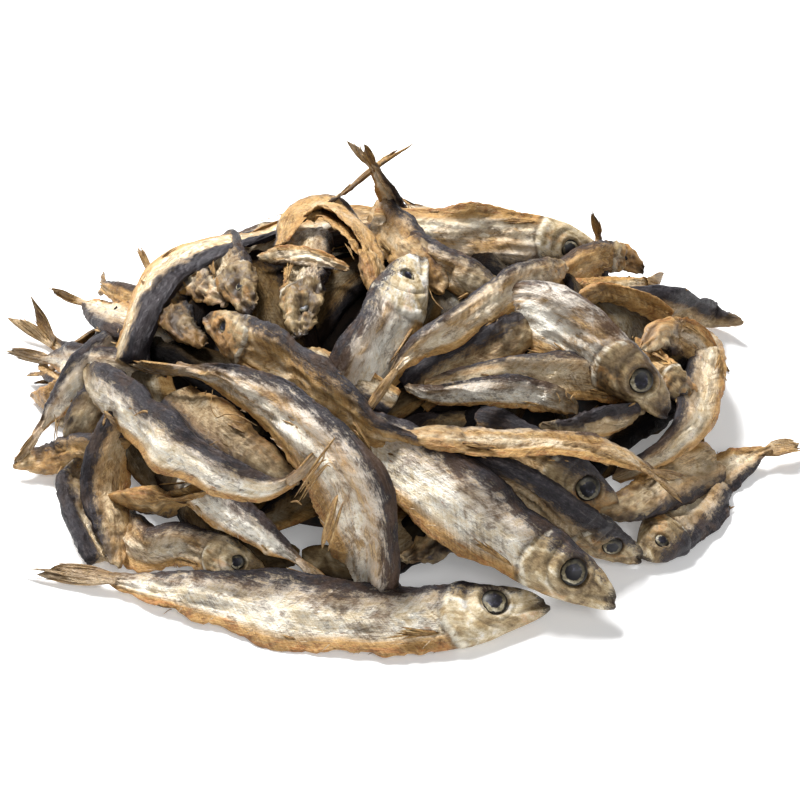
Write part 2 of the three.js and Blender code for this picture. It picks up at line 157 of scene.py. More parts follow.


# The fish that the picture shows, by the place where each lies. Depth in mm;
# the side of its back as seen along the body towards the snout; its roll in
# degrees at the snout and the tail, where 0 turns the flank to the viewer
# and 90 the back; the part of it that shows; how golden, how dark and how
# bright its skin is; and its path from the snout, as pixels right and down,
# and the millimetres that it stands off the mound. Then how far its tail
# spreads, and the size of its eye, where none means that the head has dried
# past telling; how far its belly is open, how ragged its keel and how crumpled
# its head is, where 1 is smooth; its share of the light, painted shade that
# darkens its colour; how coarse its skin's pattern and how pale its head is.
# The fine ones have the most points.
SHOWN_FISH = {
    "front": fish(19, LEFT, [-20, -12], WHOLE, [0.35, 0.55, 0.75],
        [[546, 604, 5], [400, 619, 5], [230, 600, 5], [110, 578, 5], [38, 569, 5]],
        spread=0.24, eye=1, ragged=0.9, coarse=0.85, pale=0.8, fine=True),
    "big_right": fish(18.5, LEFT, [4, 12], HEAD, [0.35, 0.5, 0.8],
        [[615, 602, 9], [515, 541, 9], [460, 503, 8], [405, 465, 5], [350, 425, 0], [310, 390, -6]],
        eye=1.05, coarse=0.85, pale=0.55, fine=True),
    "curved_dark": fish(20, LEFT, [22, 35], HEADLESS, [0.6, 0.4, 1.0],
        [[366, 580, 0], [366, 548, 6], [350, 490, 11], [316, 443, 11], [268, 402, 10], [215, 377, 9],
         [130, 362, 6]], spread=0.04, ragged=0.7, coarse=0.85, fine=True),
    "diag_long": fish(15.5, RIGHT, [10, 50], WHOLE, [0.85, 0.45, 0.6],
        [[207, 316, 8], [245, 342, 8], [300, 377, 8], [350, 412, 7], [392, 441, 7], [490, 456, 9]],
        spread=0.35, eye=0.6, crumple=1.5, fine=True),
    "left_silver": fish(15, RIGHT, [45, 10], WHOLE, [0.35, 0.65, 0.8],
        [[84, 372, 4], [115, 396, 9], [158, 436, 13], [210, 468, 13], [255, 487, 12], [292, 480, 12],
         [333, 438, 12]], spread=0.05, fine=True),
    "small_head": fish(12, LEFT, [0, 10], HEAD, [0.55, 0.35, 0.6],
        [[266, 579, 5], [243, 567, 6], [213, 554, 6], [180, 545, 5], [150, 548, 3], [126, 528, -1],
         [116, 498, -5]], eye=0.9, ragged=1.0, crumple=1.4, pale=0.7, fine=True),
    "hollow_left": fish(13, LEFT, [-60, -60], HEAD, [0.9, 0.6, 0.3],
        [[108, 498, 4], [150, 500, 3], [195, 496, 1], [240, 480, -3], [270, 465, -6]],
        opened=1.0, crumple=1.4),
    "left_down": fish(12, RIGHT, [20, 30], HEAD, [0.65, 0.6, 0.3],
        [[116, 566, 5], [113, 535, 6], [106, 495, 6], [112, 455, 4], [125, 420, 0], [140, 395, -4]],
        crumple=1.4),
    "left_dark": fish(11, LEFT, [50, 50], HEAD, [0.4, 0.9, 0.3],
        [[82, 455, 3], [70, 478, 6], [76, 508, 6], [90, 535, 4], [104, 560, 3]], crumple=1.5),
    "left_head": fish(10, RIGHT, [0, 20], HEAD, [0.9, 0.5, 0.4],
        [[14, 463, 6], [45, 460, 6], [80, 453, 3], [115, 446, 0], [150, 440, -6]], crumple=1.8),
    "left_silver2": fish(12, LEFT, [10, 10], TAIL, [0.4, 0.5, 0.8],
        [[120, 345, 0], [92, 367, 4], [66, 396, 8], [42, 428, 10], [20, 458, 11]], spread=0.05, coarse=0.4),
    "left_tail1": fish(13, LEFT, [10, 10], TAIL, [0.4, 0.45, 0.8],
        [[150, 378, -4], [110, 368, 2], [75, 362, 7], [42, 358, 11], [12, 352, 13]],
        spread=0.22, coarse=0.4),
    "left_tail2": fish(12, LEFT, [10, 20], TAIL, [0.6, 0.7, 0.5],
        [[110, 378, -6], [80, 366, 0], [55, 345, 5], [26, 313, 8]], coarse=0.4),
    "left_tail3": fish(9, RIGHT, [20, 30], TAIL, [0.7, 0.9, 0.3],
        [[110, 400, -6], [85, 392, 0], [60, 380, 3], [34, 367, 5]], spread=0.4, coarse=0.4),
    "left_tail4": fish(13, RIGHT, [20, 30], TAIL, [0.4, 0.6, 0.6],
        [[190, 345, -6], [150, 332, -2], [116, 317, 3], [82, 303, 6], [52, 293, 8]],
        spread=0.04, coarse=0.4),
    "left_lobe": fish(9, LEFT, [10, 10], TAIL, [0.9, 0.5, 0.3],
        [[160, 330, -6], [138, 305, -1], [118, 292, 3], [98, 284, 4]], spread=0.35, coarse=0.4),
    "left_nub": fish(8, LEFT, [40, 40], TAIL, [0.8, 0.6, 0.3],
        [[172, 320, -6], [157, 288, -2], [148, 266, 0], [142, 250, 2]], spread=0.25, coarse=0.4),
    "left_flank": fish(13, RIGHT, [0, 10], HEAD, [0.6, 0.5, 0.5],
        [[70, 445, 2], [80, 425, 3], [100, 400, 0], [125, 375, -4], [150, 350, -8]], crumple=1.4),
    "left_orange": fish(9, LEFT, [-30, -10], HEAD, [1.0, 0.1, 0.3],
        [[32, 398, 2], [55, 398, 3], [85, 385, 0], [120, 365, -5]], crumple=1.1),
    "big_arc": fish(13, LEFT, [42, 95], HEADLESS, [0.35, 0.95, 0.35],
        [[124, 366, 4], [136, 332, 6], [150, 298, 8], [174, 268, 7], [208, 250, 5], [250, 234, 4],
         [296, 216, 4], [340, 196, 4], [364, 175, 4], [391, 150, 4]], spread=0.28, coarse=0.3, fine=True),
    "open_arch": fish(13, LEFT, [-75, -60], HEAD, [0.85, 0.45, 0.5],
        [[387, 318, 4], [373, 272, 7], [352, 232, 8], [328, 207, 8], [298, 214, 8], [280, 245, 5]],
        opened=1.0, coarse=0.7, fine=True),
    "head_up": fish(18, LEFT, [6, 20], HEAD, [0.5, 0.4, 0.95],
        [[421, 257, 7], [404, 287, 8], [390, 322, 8], [372, 356, 6], [350, 392, 0], [335, 420, -6]],
        eye=0.6, crumple=1.1, coarse=0.6, pale=1.1, fine=True),
    "top_back": fish(15, RIGHT, [0, 10], HEAD, [0.6, 0.3, 0.72],
        [[602, 256, 2], [560, 243, 2], [510, 236, 2], [455, 234, 2], [405, 230, 0], [370, 228, -2]],
        eye=0.95, coarse=0.5, pale=1.0, fine=True),
    "right_hero": fish(17.5, LEFT, [4, 6], HEAD, [0.55, 0.12, 1.1],
        [[668, 413, 8], [640, 384, 9], [598, 352, 9], [558, 325, 8], [522, 312, 3], [488, 325, -6],
         [455, 345, -16]], eye=1.05, coarse=0.7, pale=0.2, fine=True),
    "mid_silver": fish(11, LEFT, [5, 15], WHOLE, [0.6, 0.35, 0.7],
        [[566, 266, 5], [530, 281, 8], [492, 302, 9], [452, 330, 9], [415, 350, 9], [390, 378, 9],
         [368, 408, 9]], spread=0.1, coarse=0.6, fine=True),
    "striped_under": fish(13, LEFT, [10, 10], HEAD, [0.5, 0.95, 0.2],
        [[545, 318, 0], [505, 340, 2], [470, 358, 2], [435, 376, 0], [410, 395, -4]]),
    "row_silver": fish(8, LEFT, [8, 15], HEAD, [0.4, 0.35, 0.95],
        [[578, 411, 2], [555, 400, 4], [520, 392, 5], [480, 391, 5], [440, 395, 4], [412, 390, 3],
         [392, 379, -1]], coarse=1.0),
    "row_tan": fish(11, LEFT, [-10, -5], HEAD, [0.6, 0.4, 0.5],
        [[650, 392, -2], [600, 382, 2], [550, 374, 3], [500, 373, 3], [455, 380, 2], [420, 388, 0]]),
    "dark_knob": fish(8, RIGHT, [50, 50], HEAD, [0.25, 0.9, 0.2],
        [[541, 425, 6], [570, 427, 6], [605, 421, 5], [640, 412, 2], [670, 400, -3]],
        crumple=1.6, coarse=0.5),
    "long_tan": fish(9, RIGHT, [-45, -35], HEAD, [0.72, 0.3, 0.6],
        [[396, 434, 7], [440, 438, 9], [495, 444, 11], [550, 447, 11], [600, 453, 12], [645, 470, 13],
         [682, 487, 14]], coarse=0.9, fine=True),
    "shade_head": fish(17, LEFT, [0, 10], HEAD, [0.8, 0.7, 0.2],
        [[618, 512, 4], [585, 490, 3], [545, 468, 2], [505, 450, -2], [465, 436, -9]], eye=1.1),
    "third_head": fish(14, LEFT, [32, 40], HEAD, [0.6, 0.85, 0.4],
        [[641, 558, 4], [600, 538, 7], [560, 510, 7], [518, 488, 7], [478, 470, 5], [440, 455, 0]],
        eye=1.05, crumple=1.3, fine=True),
    "right_olive": fish(12, LEFT, [0, 20], HEAD, [0.55, 0.45, 0.4],
        [[596, 508, 3], [618, 508, 4], [640, 500, 4], [664, 486, 3], [690, 471, 4], [716, 462, 6]],
        coarse=0.5),
    "right_fish": fish(16.5, LEFT, [8, 30], WHOLE, [0.6, 0.6, 0.6],
        [[643, 559, 4], [667, 533, 5], [693, 502, 4], [720, 474, 4], [755, 456, 5], [799, 441, 9]],
        spread=0.28, eye=0.65, coarse=0.6, fine=True),
    "right_side": fish(12, LEFT, [4, 20], HEAD, [0.42, 0.5, 0.5],
        [[704, 330, 4], [706, 365, 6], [698, 408, 7], [674, 442, 6], [642, 464, 0], [610, 480, -8]],
        coarse=0.6),
    "right_white": fish(10, LEFT, [0, 10], HEAD, [0.7, 0.3, 0.8],
        [[643, 350, 3], [664, 334, 6], [690, 342, 6], [706, 366, 3], [708, 398, -4]], crumple=1.8),
    "right_dark": fish(11, LEFT, [40, 30], HEAD, [0.6, 0.95, 0.2],
        [[742, 321, 10], [706, 315, 7], [672, 304, 4], [640, 298, 2], [605, 300, -4]], coarse=0.5),
    "right_head_back": fish(10, LEFT, [0, 10], HEAD, [0.9, 0.3, 0.4],
        [[644, 270, 5], [620, 258, 5], [592, 262, 4], [565, 280, -3], [545, 300, -8]],
        eye=0.6, crumple=1.8),
    "right_tail_back": fish(10, LEFT, [10, 10], TAIL, [0.6, 0.5, 0.4],
        [[575, 300, -6], [605, 290, -1], [640, 282, 3], [668, 284, 6]], spread=0.35, coarse=0.4),
    "back_nub": fish(9, LEFT, [10, 10], TAIL, [0.7, 0.8, 0.2],
        [[590, 290, -6], [594, 262, -1], [598, 238, 2], [594, 218, 4]], spread=0.29, crumple=1.5),
    "right_tan": fish(8, LEFT, [-50, -40], HEAD, [0.9, 0.4, 0.4],
        [[570, 300, 0], [605, 292, 2], [640, 305, 3], [668, 322, 3]], crumple=1.6),
    "low_head": fish(10, RIGHT, [10, 10], HEAD, [0.8, 0.6, 0.3],
        [[699, 400, 4], [676, 385, 4], [650, 365, 0], [620, 350, -10]], eye=0.8, crumple=1.6),
    "centre_head": fish(13, LEFT, [15, 10], HEAD, [0.35, 0.4, 0.4],
        [[300, 336, 3], [302, 300, 3], [306, 265, 0], [312, 235, -8]],
        eye=0.7, crumple=2.4, coarse=1.0, pale=0.3),
    "left_mid_head": fish(13, LEFT, [10, 10], HEAD, [0.4, 0.5, 0.3],
        [[252, 312, 3], [238, 286, 4], [226, 264, 1], [218, 250, -6]],
        eye=0.6, crumple=2, coarse=1.0, pale=0.0),
    "white_bits": fish(9, LEFT, [0, 0], HEAD, [0.6, 0.2, 0.7],
        [[226, 300, 1], [202, 288, 2], [186, 272, 0], [177, 262, -6]], crumple=2.2, pale=0.85),
    "top_tail": fish(8.5, LEFT, [20, 40], TAIL, [0.4, 0.5, 0.7],
        [[430, 275, -6], [410, 240, 0], [394, 210, 4], [381, 180, 6], [360, 147, 8]],
        spread=0.4, coarse=0.4),
    "behind_top": fish(13, LEFT, [0, 10], HEAD, [0.8, 0.4, 0.5],
        [[445, 290, 0], [420, 262, 3], [396, 236, 3], [370, 212, 0]], crumple=1.6),
    "centre_flank": fish(12, LEFT, [0, 10], HEAD, [0.6, 0.4, 0.7],
        [[510, 305, 2], [475, 282, 4], [440, 266, 4], [405, 255, 0]], crumple=1.5),
    "centre_blue": fish(8, LEFT, [10, 10], HEAD, [0.3, 0.9, 0.4],
        [[300, 350, -2], [335, 370, 4], [365, 386, 5], [395, 405, 3]]),
    "mid_flank": fish(12.5, RIGHT, [0, 10], HEAD, [0.45, 0.7, 0.15],
        [[296, 486, 2], [246, 452, 3], [205, 421, 3], [172, 392, 0]], shade=0.75),
    "floor_mid": fish(11.5, RIGHT, [10, 0], TAIL, [0.2, 0.7, 1.0],
        [[185, 470, 0], [225, 508, 4], [265, 536, 5], [300, 562, 5], [334, 592, 9]], spread=0.2),
    "shadow_lump": fish(12, LEFT, [40, 40], HEAD, [0.6, 0.9, 0.1],
        [[400, 560, 1], [430, 545, 0], [462, 520, -3], [490, 500, -8]], crumple=2.4),
    "cream_bar": fish(5, LEFT, [0, 0], HEAD, [0.6, 0.2, 0.65],
        [[258, 258, 2], [286, 255, 5], [316, 259, 6], [350, 270, 3]], crumple=1.5, coarse=0.5, pale=0.6),
    "brown_left": fish(12, LEFT, [-30, -20], HEAD, [0.9, 0.7, 0.1],
        [[205, 345, 0], [180, 325, 2], [168, 300, 2], [165, 270, -3]], crumple=2, shade=0.5),
}

# Fibres and strips of torn skin: their tone, and for each half its width in
# millimetres and its path, as a fish's.
STRIP_TONE = [0.8, 0.2, 0.5]
STRIPS = [
    (0.17, [[213, 388, 9], [211, 406, 12], [217, 417, 12], [226, 414, 12], [240, 416, 12], [259, 427, 12]]),
    (0.17, [[222, 415, 12], [236, 421, 12], [253, 425, 12]]),
    (0.2, [[51, 405, 11], [56, 422, 10], [54, 446, 8], [59, 470, 7]]),
    (0.2, [[63, 411, 11], [57, 431, 10], [60, 452, 9]]),
    (0.25, [[66, 430, 9], [60, 447, 9], [63, 462, 8], [57, 474, 8]]),
    (0.17, [[429, 288, 7], [434, 300, 7], [444, 310, 7]]),
    (0.17, [[556, 392, 8], [560, 399, 8], [559, 404, 7]]),
    (0.17, [[566, 390, 8], [567, 397, 8], [573, 402, 7]]),
    (0.17, [[575, 393, 8], [571, 399, 8], [575, 405, 7]]),
    (0.17, [[203, 452, 12], [210, 445, 14], [219, 441, 15]]),
    (0.6, [[128, 409, 14], [140, 405, 17], [152, 408, 17], [163, 417, 15]]),
    (0.4, [[133, 416, 15], [146, 411, 18], [158, 421, 15]]),
    (0.25, [[298, 503, 13], [308, 486, 16], [320, 470, 17], [329, 462, 17]]),
    (0.25, [[302, 500, 13], [314, 482, 16], [326, 466, 17], [331, 467, 17]]),
    (0.3, [[294, 498, 14], [306, 480, 17], [318, 464, 17], [327, 459, 17]]),
    (0.25, [[299, 494, 14], [312, 474, 17], [322, 460, 17], [325, 452, 17]]),
    (0.4, [[304, 480, 15], [316, 462, 17], [328, 446, 17], [336, 436, 16]]),
    (0.3, [[290, 502, 12], [297, 501, 13], [302, 505, 13]]),
    (1.1, [[338, 494, 16.5], [331, 518, 16.5], [322, 549, 13]]),
    (0.5, [[344, 500, 16.5], [336, 526, 16], [328, 552, 12]]),
    (0.3, [[282, 420, 12], [292, 424, 13], [306, 434, 13]]),
    (0.25, [[286, 414, 13], [294, 420, 14], [297, 412, 15]]),
]

# Rows of fish that a rule lays round the mound at shares of its radius,
# between two bearings in degrees, counted from +X: those on the hidden back,
# and those that lie deeper, all round. The first dip down into the heap where
# they come in front of its ridge. The deeper ones have their colour darkened,
# to a share drawn between two values, as painted shade.
BACK_ROWS = [
    dict(share=0.38, count=5, bearings=(35, 145), lift=-2),
    dict(share=0.62, count=7, bearings=(20, 160), lift=-1),
    dict(share=0.86, count=9, bearings=(14, 166), lift=0),
]
DEEP_ROWS = [
    dict(share=0.12, count=3, bearings=(0, 360), lift=-4, shade=(0.03, 0.2)),
    dict(share=0.38, count=7, bearings=(0, 360), lift=-4, shade=(0.03, 0.25)),
    dict(share=0.58, count=9, bearings=(0, 360), lift=-4, shade=(0.04, 0.3)),
    dict(share=0.8, count=12, bearings=(0, 360), lift=-3.5, shade=(0.1, 0.4)),
]

# How these fish lie: their length and depth in mm; their roll, and how far they
# turn off the row and bend to either side, in degrees; the points of their
# paths; how far they reach, as a share of the mound's radius; and the tone,
# spread, crumple and eye that are drawn for them, as in the table above.
LAID_LENGTH, LAID_DEPTH = (84, 112), (13, 16.5)
LAID_ROLL, LAID_TURN, LAID_BEND, LAID_POINTS = (-20, 35), 36, 16, 6
LAID_REACH, DEEP_REACH = 0.98, 0.95
LAID_TONE = [(0.2, 0.8), (0.3, 0.8), (0.2, 0.7)]
LAID_SPREAD, LAID_CRUMPLE, LAID_EYE = (0.4, 1.1), (0.8, 2.2), (-0.3, 1.1)

# The fish of the back lie at three heights in turn, dip down in front of the
# ridge and stay off the floor. The deeper fish sink between two places on Y.
# All in mm, and the dip in mm for each mm.
LAYERS, LAID_DIP, LAID_LOWEST = (0, -2.5, -5), 0.4, 2
DEEP_BEHIND, BEHIND_FROM, BEHIND_TO = 8, 24, 44

# Seeds of the draws, and how far on those of the tones are; and the first
# numbers of the fish of the back, of the deeper fish and of the strips. A
# fish's number is the seed of its noise.
BACK_SEED, DEEP_SEED, FIN_SEED, TONE_SEEDS = 7, 23, 41, 100
FIRST_BACK, FIRST_DEEP, FIRST_STRIP = 100, 150, 200


def smoothstep(values, low, high):
    """From 0 to 1 as the values go from low to high, with smooth ends."""
    share = np.clip((values - low) / (high - low), 0, 1)
    return share * share * (3 - 2 * share)


def unit(vectors):
    """The same directions, each of length 1."""
    return vectors / np.linalg.norm(vectors, axis=-1, keepdims=True)


def stacked(*values):
    """Values side by side for each point, all spread to one shape."""
    return np.stack(np.broadcast_arrays(*values), -1)


def circle(count):
    """Angles evenly round a circle."""
    return 2 * np.pi * np.arange(count) / count


def draw_from(seed):
    """Seeded draws, the same on every run."""
    state = seed

    def draw(low, high):
        nonlocal state
        state = (state * 16807) % 2147483647
        return low + (high - low) * (state / 2147483647)

    return draw


def lattice(cell, seed):
    """A repeatable value between -1 and 1 for each whole-numbered place."""
    mixed = cell[..., 0] * 73856093 ^ cell[..., 1] * 19349663 ^ cell[..., 2] * 83492791
    mixed = (mixed ^ seed * 40503) & 0x7FFFFFFF
    mixed = ((mixed ^ mixed >> 13) * 1274126177) & 0x7FFFFFFF
    return ((mixed ^ mixed >> 16) & 0xFFFF) / 32767.5 - 1


def noise(x, y, z, seed=1):
    """Smooth noise between about -1 and 1, with features one unit apart."""
    place = stacked(x, y, z)
    cell = np.floor(place).astype(np.int64)
    part = place - cell
    part = part * part * (3 - 2 * part)
    total = 0
    for corner in range(8):
        step = np.array([corner & 1, corner >> 1 & 1, corner >> 2 & 1])
        weight = np.prod(np.where(step, part, 1 - part), axis=-1)
        total = total + weight * lattice(cell + step, seed)
    return total


def through_keys(at, keys, values):
    """A smooth line through a list of keys."""
    keys, values = np.array(keys, float), np.array(values, float)
    slopes = np.gradient(values, keys)
    index = np.clip(np.searchsorted(keys, at, side="right") - 1, 0, len(keys) - 2)
    gap = keys[index + 1] - keys[index]
    t = np.clip((at - keys[index]) / gap, 0, 1)
    return ((2 * t**3 - 3 * t**2 + 1) * values[index] + (t**3 - 2 * t**2 + t) * gap * slopes[index]
            + (3 * t**2 - 2 * t**3) * values[index + 1] + (t**3 - t**2) * gap * slopes[index + 1])


def dome_height(x, y):
    """The dome's height over a place, without its far slope."""
    inside = 1 - ((x - MOUND_X) / MOUND_RADIUS_X) ** 2 - ((y - MOUND_Y) / MOUND_RADIUS_Y) ** 2
    return MOUND_HEIGHT * np.maximum(0, inside) ** SHOULDER


def back_edge(x):
    """Where the mound's far side meets the floor."""
    return MOUND_Y + BACK_REACH * (1 - ((x - MOUND_X) / MOUND_RADIUS_X) ** 2)


def mound_height(x, y):
    """The height of the whole mound over a place."""
    return np.maximum(0, np.minimum(dome_height(x, y), BACK_SLOPE * (back_edge(x) - y)))


def place_by_pixel(right, down, lift):
    """Where the sight line through a pixel meets the dome, moved back by the lift."""
    ray = SIGHT + IMAGE_UP * (PICTURE / 2 - down) / PIXELS
    ray[0] += (right - PICTURE / 2) / PIXELS
    reach = np.arange(NEAREST, FARTHEST, SIGHT_STEP)
    line = EYE + reach[:, None] * ray
    stopped = (line[:, 2] <= dome_height(line[:, 0], line[:, 1])) | (line[:, 1] >= RIDGE_Y)
    return line[np.argmax(stopped)] - ray * lift


def to_eye(places):
    return EYE - places


def outward(places):
    """The mound's normal under each place."""
    x, y, reach = places[..., 0], places[..., 1], 1
    slope_x = (mound_height(x + reach, y) - mound_height(x - reach, y)) / (2 * reach)
    slope_y = (mound_height(x, y + reach) - mound_height(x, y - reach)) / (2 * reach)
    return stacked(-slope_x, -slope_y, 1)


class LaidFish:
    """A fish laid along a spine: its middle line and directions at any share."""

    steps = 24  # Points of the line between two points of the path.

    def __init__(self, row, points, facing, seed):
        self.row, self.facing, self.seed = row, facing, seed
        self.depth = row["depth"]

        # A smooth line through the points, which runs straight on at both ends.
        points = np.array(points, float)
        ends = np.vstack([2 * points[0] - points[1], points, 2 * points[-1] - points[-2]])
        t = np.linspace(0, 1, self.steps, endpoint=False)[:, None]
        parts = []
        for a, b, c, d in zip(ends, ends[1:], ends[2:], ends[3:]):
            parts.append(0.5 * (2 * b + (c - a) * t + (2 * a - 5 * b + 4 * c - d) * t**2
                                + (3 * b - a - 3 * c + d) * t**3))
        self.line = np.vstack(parts + [points[-1:]])
        self.ahead = unit(-np.gradient(self.line, axis=0))
        gaps = np.linalg.norm(np.diff(self.line, axis=0), axis=1)
        self.reach = np.concatenate([[0], np.cumsum(gaps)])
        share = min(1, self.reach[-1] / (LENGTH_TO_DEPTH * self.depth))
        self.start, self.end = {WHOLE: (0, 1), HEAD: (0, share), TAIL: (1 - share, 1),
                                HEADLESS: (HEADLESS_FROM, 1)}[row["shown"]]

    def half_height(self, shares):
        return through_keys(shares, OUTLINE_AT, HEIGHT) * self.depth / 2

    def half_thickness(self, shares):
        return through_keys(shares, OUTLINE_AT, THICKNESS) * self.depth / 2

    def along_line(self, at, rows):
        """What the rows say of the middle line, at millimetres along it."""
        return stacked(*(np.interp(at, self.reach, column) for column in rows.T))

    def frame(self, shares):
        """Middle, back and flank directions, and the way to the snout."""
        shares = np.asarray(shares, float)
        path = np.clip((shares - self.start) / (self.end - self.start), 0, 1)
        at = path * self.reach[-1]
        centre = self.along_line(at, self.line)
        ahead = unit(self.along_line(at, self.ahead))
        out = self.facing(centre)
        out = unit(out - (out * ahead).sum(-1, keepdims=True) * ahead)
        side = np.cross(out, ahead) * self.row["back"]
        first, last = self.row["roll"]
        twist = TWIST * noise(shares * 4, 0, 20, self.seed)
        roll = np.radians(first + (last - first) * path + twist)[..., None]
        back = np.cos(roll) * side + np.sin(roll) * out
        flank = np.cross(back, ahead)

        # Where it would go through the floor, it comes up towards the viewer.
        low = centre[..., 2] - np.hypot(back[..., 2] * self.half_height(shares),
                                        flank[..., 2] * self.half_thickness(shares))
        centre = centre + SIGHT * (np.minimum(low, 0) / -SIGHT[2])[..., None]
        return centre, back, flank, ahead

    def on_skin(self, share, up, side, lift):
        """A place on the skin: up from the middle line in depths, and lifted."""
        centre, back, flank, _ = self.frame(share)
        height, thick = self.half_height(share), self.half_thickness(share)
        bulge = np.sqrt(np.maximum(0, 1 - (up * self.depth / height) ** 2))
        return (centre + back * (up * self.depth)[..., None]
                + flank * (side * (thick * bulge + lift))[..., None])


class Collector:
    """Gathers points, faces and values for each point, and makes one mesh."""

    def __init__(self, name):
        self.name, self.count = name, 0
        self.points, self.faces, self.values = [], [], {}

    def add(self, points, faces, **values):
        """Adds a closed form. A value is one for all its points, or one for each."""
        points = points.reshape(-1, 3)
        self.points.append(points)
        self.faces += [face + self.count for face in faces]
        self.count += len(points)
        for key, value in values.items():
            value = np.asarray(value, float)
            width = 3 if value.shape[-1:] == (3,) else 1
            value = np.broadcast_to(value.reshape(-1, width), (len(points), width))
            self.values.setdefault(key, []).append(value)

    def make(self, material):
        """Makes the mesh with its values, and tells the frame what it is."""
        points = np.vstack(self.points)
        points[:, 2] = np.maximum(points[:, 2], FLOOR_GAP)
        mesh = bpy.data.meshes.new(self.name)
        sizes = np.concatenate([np.full(len(face), face.shape[1]) for face in self.faces])
        corners = np.concatenate([face.ravel() for face in self.faces])
        mesh.vertices.add(len(points))
        mesh.vertices.foreach_set("co", (points * MM).astype(np.float32).ravel())
        mesh.loops.add(len(corners))
        mesh.loops.foreach_set("vertex_index", corners.astype(np.int32))
        mesh.polygons.add(len(sizes))
        mesh.polygons.foreach_set("loop_start", np.concatenate([[0], np.cumsum(sizes)[:-1]]).astype(np.int32))
        mesh.polygons.foreach_set("use_smooth", np.ones(len(sizes), bool))
        mesh.update(calc_edges=True)
        for key, parts in self.values.items():
            value = np.vstack(parts)
            kind, field = {1: ("FLOAT", "value"), 3: ("FLOAT_VECTOR", "vector")}[value.shape[1]]
            mesh.attributes.new(key, kind, "POINT").data.foreach_set(field, value.astype(np.float32).ravel())
        mesh.validate()
        mesh.materials.append(material)
        made = bpy.data.objects.new(self.name, mesh)
        bpy.context.scene.collection.objects.link(made)
        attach(made, "root")
        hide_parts(NODE)


def tube_faces(rings, around):
    """Faces of a closed tube whose first and last points are its two ends."""
    grid = 1 + np.arange(rings * around).reshape(rings, around)
    turned = np.roll(grid, -1, axis=1)
    sides = np.stack([grid[:-1], turned[:-1], turned[1:], grid[1:]], -1).reshape(-1, 4)
    first = np.stack([np.zeros(around, int), turned[0], grid[0]], -1)
    last = np.stack([np.full(around, rings * around + 1), grid[-1], turned[-1]], -1)
    return [sides, first, last]


def closed(rows, first, last):
    """Rows of values with one for each end, in the order of tube_faces."""
    return np.vstack([first, rows.reshape(-1, rows.shape[-1]), last])


def closed_by_ends(rows):
    """Rows of values whose first and last row are made single values."""
    return closed(rows[1:-1], rows[0, 0], rows[-1, 0])


def ridge(values, middle, width):
    """A bell, 1 at the middle."""
    return np.exp(-((values - middle) / width) ** 2)


def from_mouth(x, up):
    """How far a place is from the mouth's line, and how far above it, in depths."""
    line = MOUTH_TO - MOUTH_FROM
    length = np.hypot(*line)
    over, rise = x - MOUTH_FROM[0], up - MOUTH_FROM[1]
    share = np.clip((over * line[0] + rise * line[1]) / length**2, 0, 1)
    away = np.hypot(over - share * line[0], rise - share * line[1])
    above = (rise * line[0] - over * line[1]) / length
    return away, above


def gill_distance(x, up):
    """How far behind the gill cover's edge a place is, in depths."""
    return np.hypot(np.maximum(x - GILL_AT[0], 0), up - GILL_AT[1]) - GILL_RADIUS


def eye_distance(x, up, eye_size):
    """How far a place is from the eye's middle, in radii of the eye."""
    return np.hypot(x - EYE_AT[0], up - EYE_AT[1]) / (EYE_RADIUS * max(eye_size, 0.5))


def head_lines(x, up, eye_size):
    """The creases of a head, dark with painted shade: mouth, jaw, cheek, gill cover and eye socket, 0 to 1.
    """
    gill = gill_distance(x, up)
    cheek = np.hypot(x - CHEEK_AT[0], up - CHEEK_AT[1]) - CHEEK_RADIUS
    mouth, _ = from_mouth(x, up)
    fan = np.arctan2(up - 0.25, x - 0.82)
    eye = eye_distance(x, up, eye_size)
    around_eye = np.arctan2(up - EYE_AT[1], x - EYE_AT[0])
    jaw = np.hypot(x - 0.2, up - 0.12) - 0.33
    plate = (x - 0.98) * 0.94 + (up - 0.05) * 0.34
    creases = [
        0.9 * ridge(mouth, 0, 0.026),
        1.0 * ridge(gill, 0.03, 0.03) * smoothstep(up, 0.42, 0.2),
        0.8 * ridge(cheek, 0, 0.018) * smoothstep(x, 0.5, 0.72) * smoothstep(up, 0.4, 0.25),
        0.6 * ridge(jaw, 0, 0.016) * smoothstep(x, 0.3, 0.42) * smoothstep(up, 0.1, -0.05),
        0.6 * ridge(gill, -0.14, 0.014) * smoothstep(up, 0.0, -0.15),
        0.55 * ridge(plate, 0, 0.012) * smoothstep(up, 0.26, 0.16) * smoothstep(up, -0.3, -0.2),
        0.45 * np.maximum(0, np.sin(fan * 34)) ** 4 * smoothstep(x, 0.9, 1.0) * smoothstep(up, 0.3, 0.1),
        (eye_size > 0) * 0.5 * ridge(eye, 1.5, 0.09) * smoothstep(np.cos(around_eye - 3.6), -0.4, 0.5),
        (eye_size > 0) * ridge(eye, 1.08, 0.13),
    ]
    return np.max(np.broadcast_arrays(*creases), axis=0)


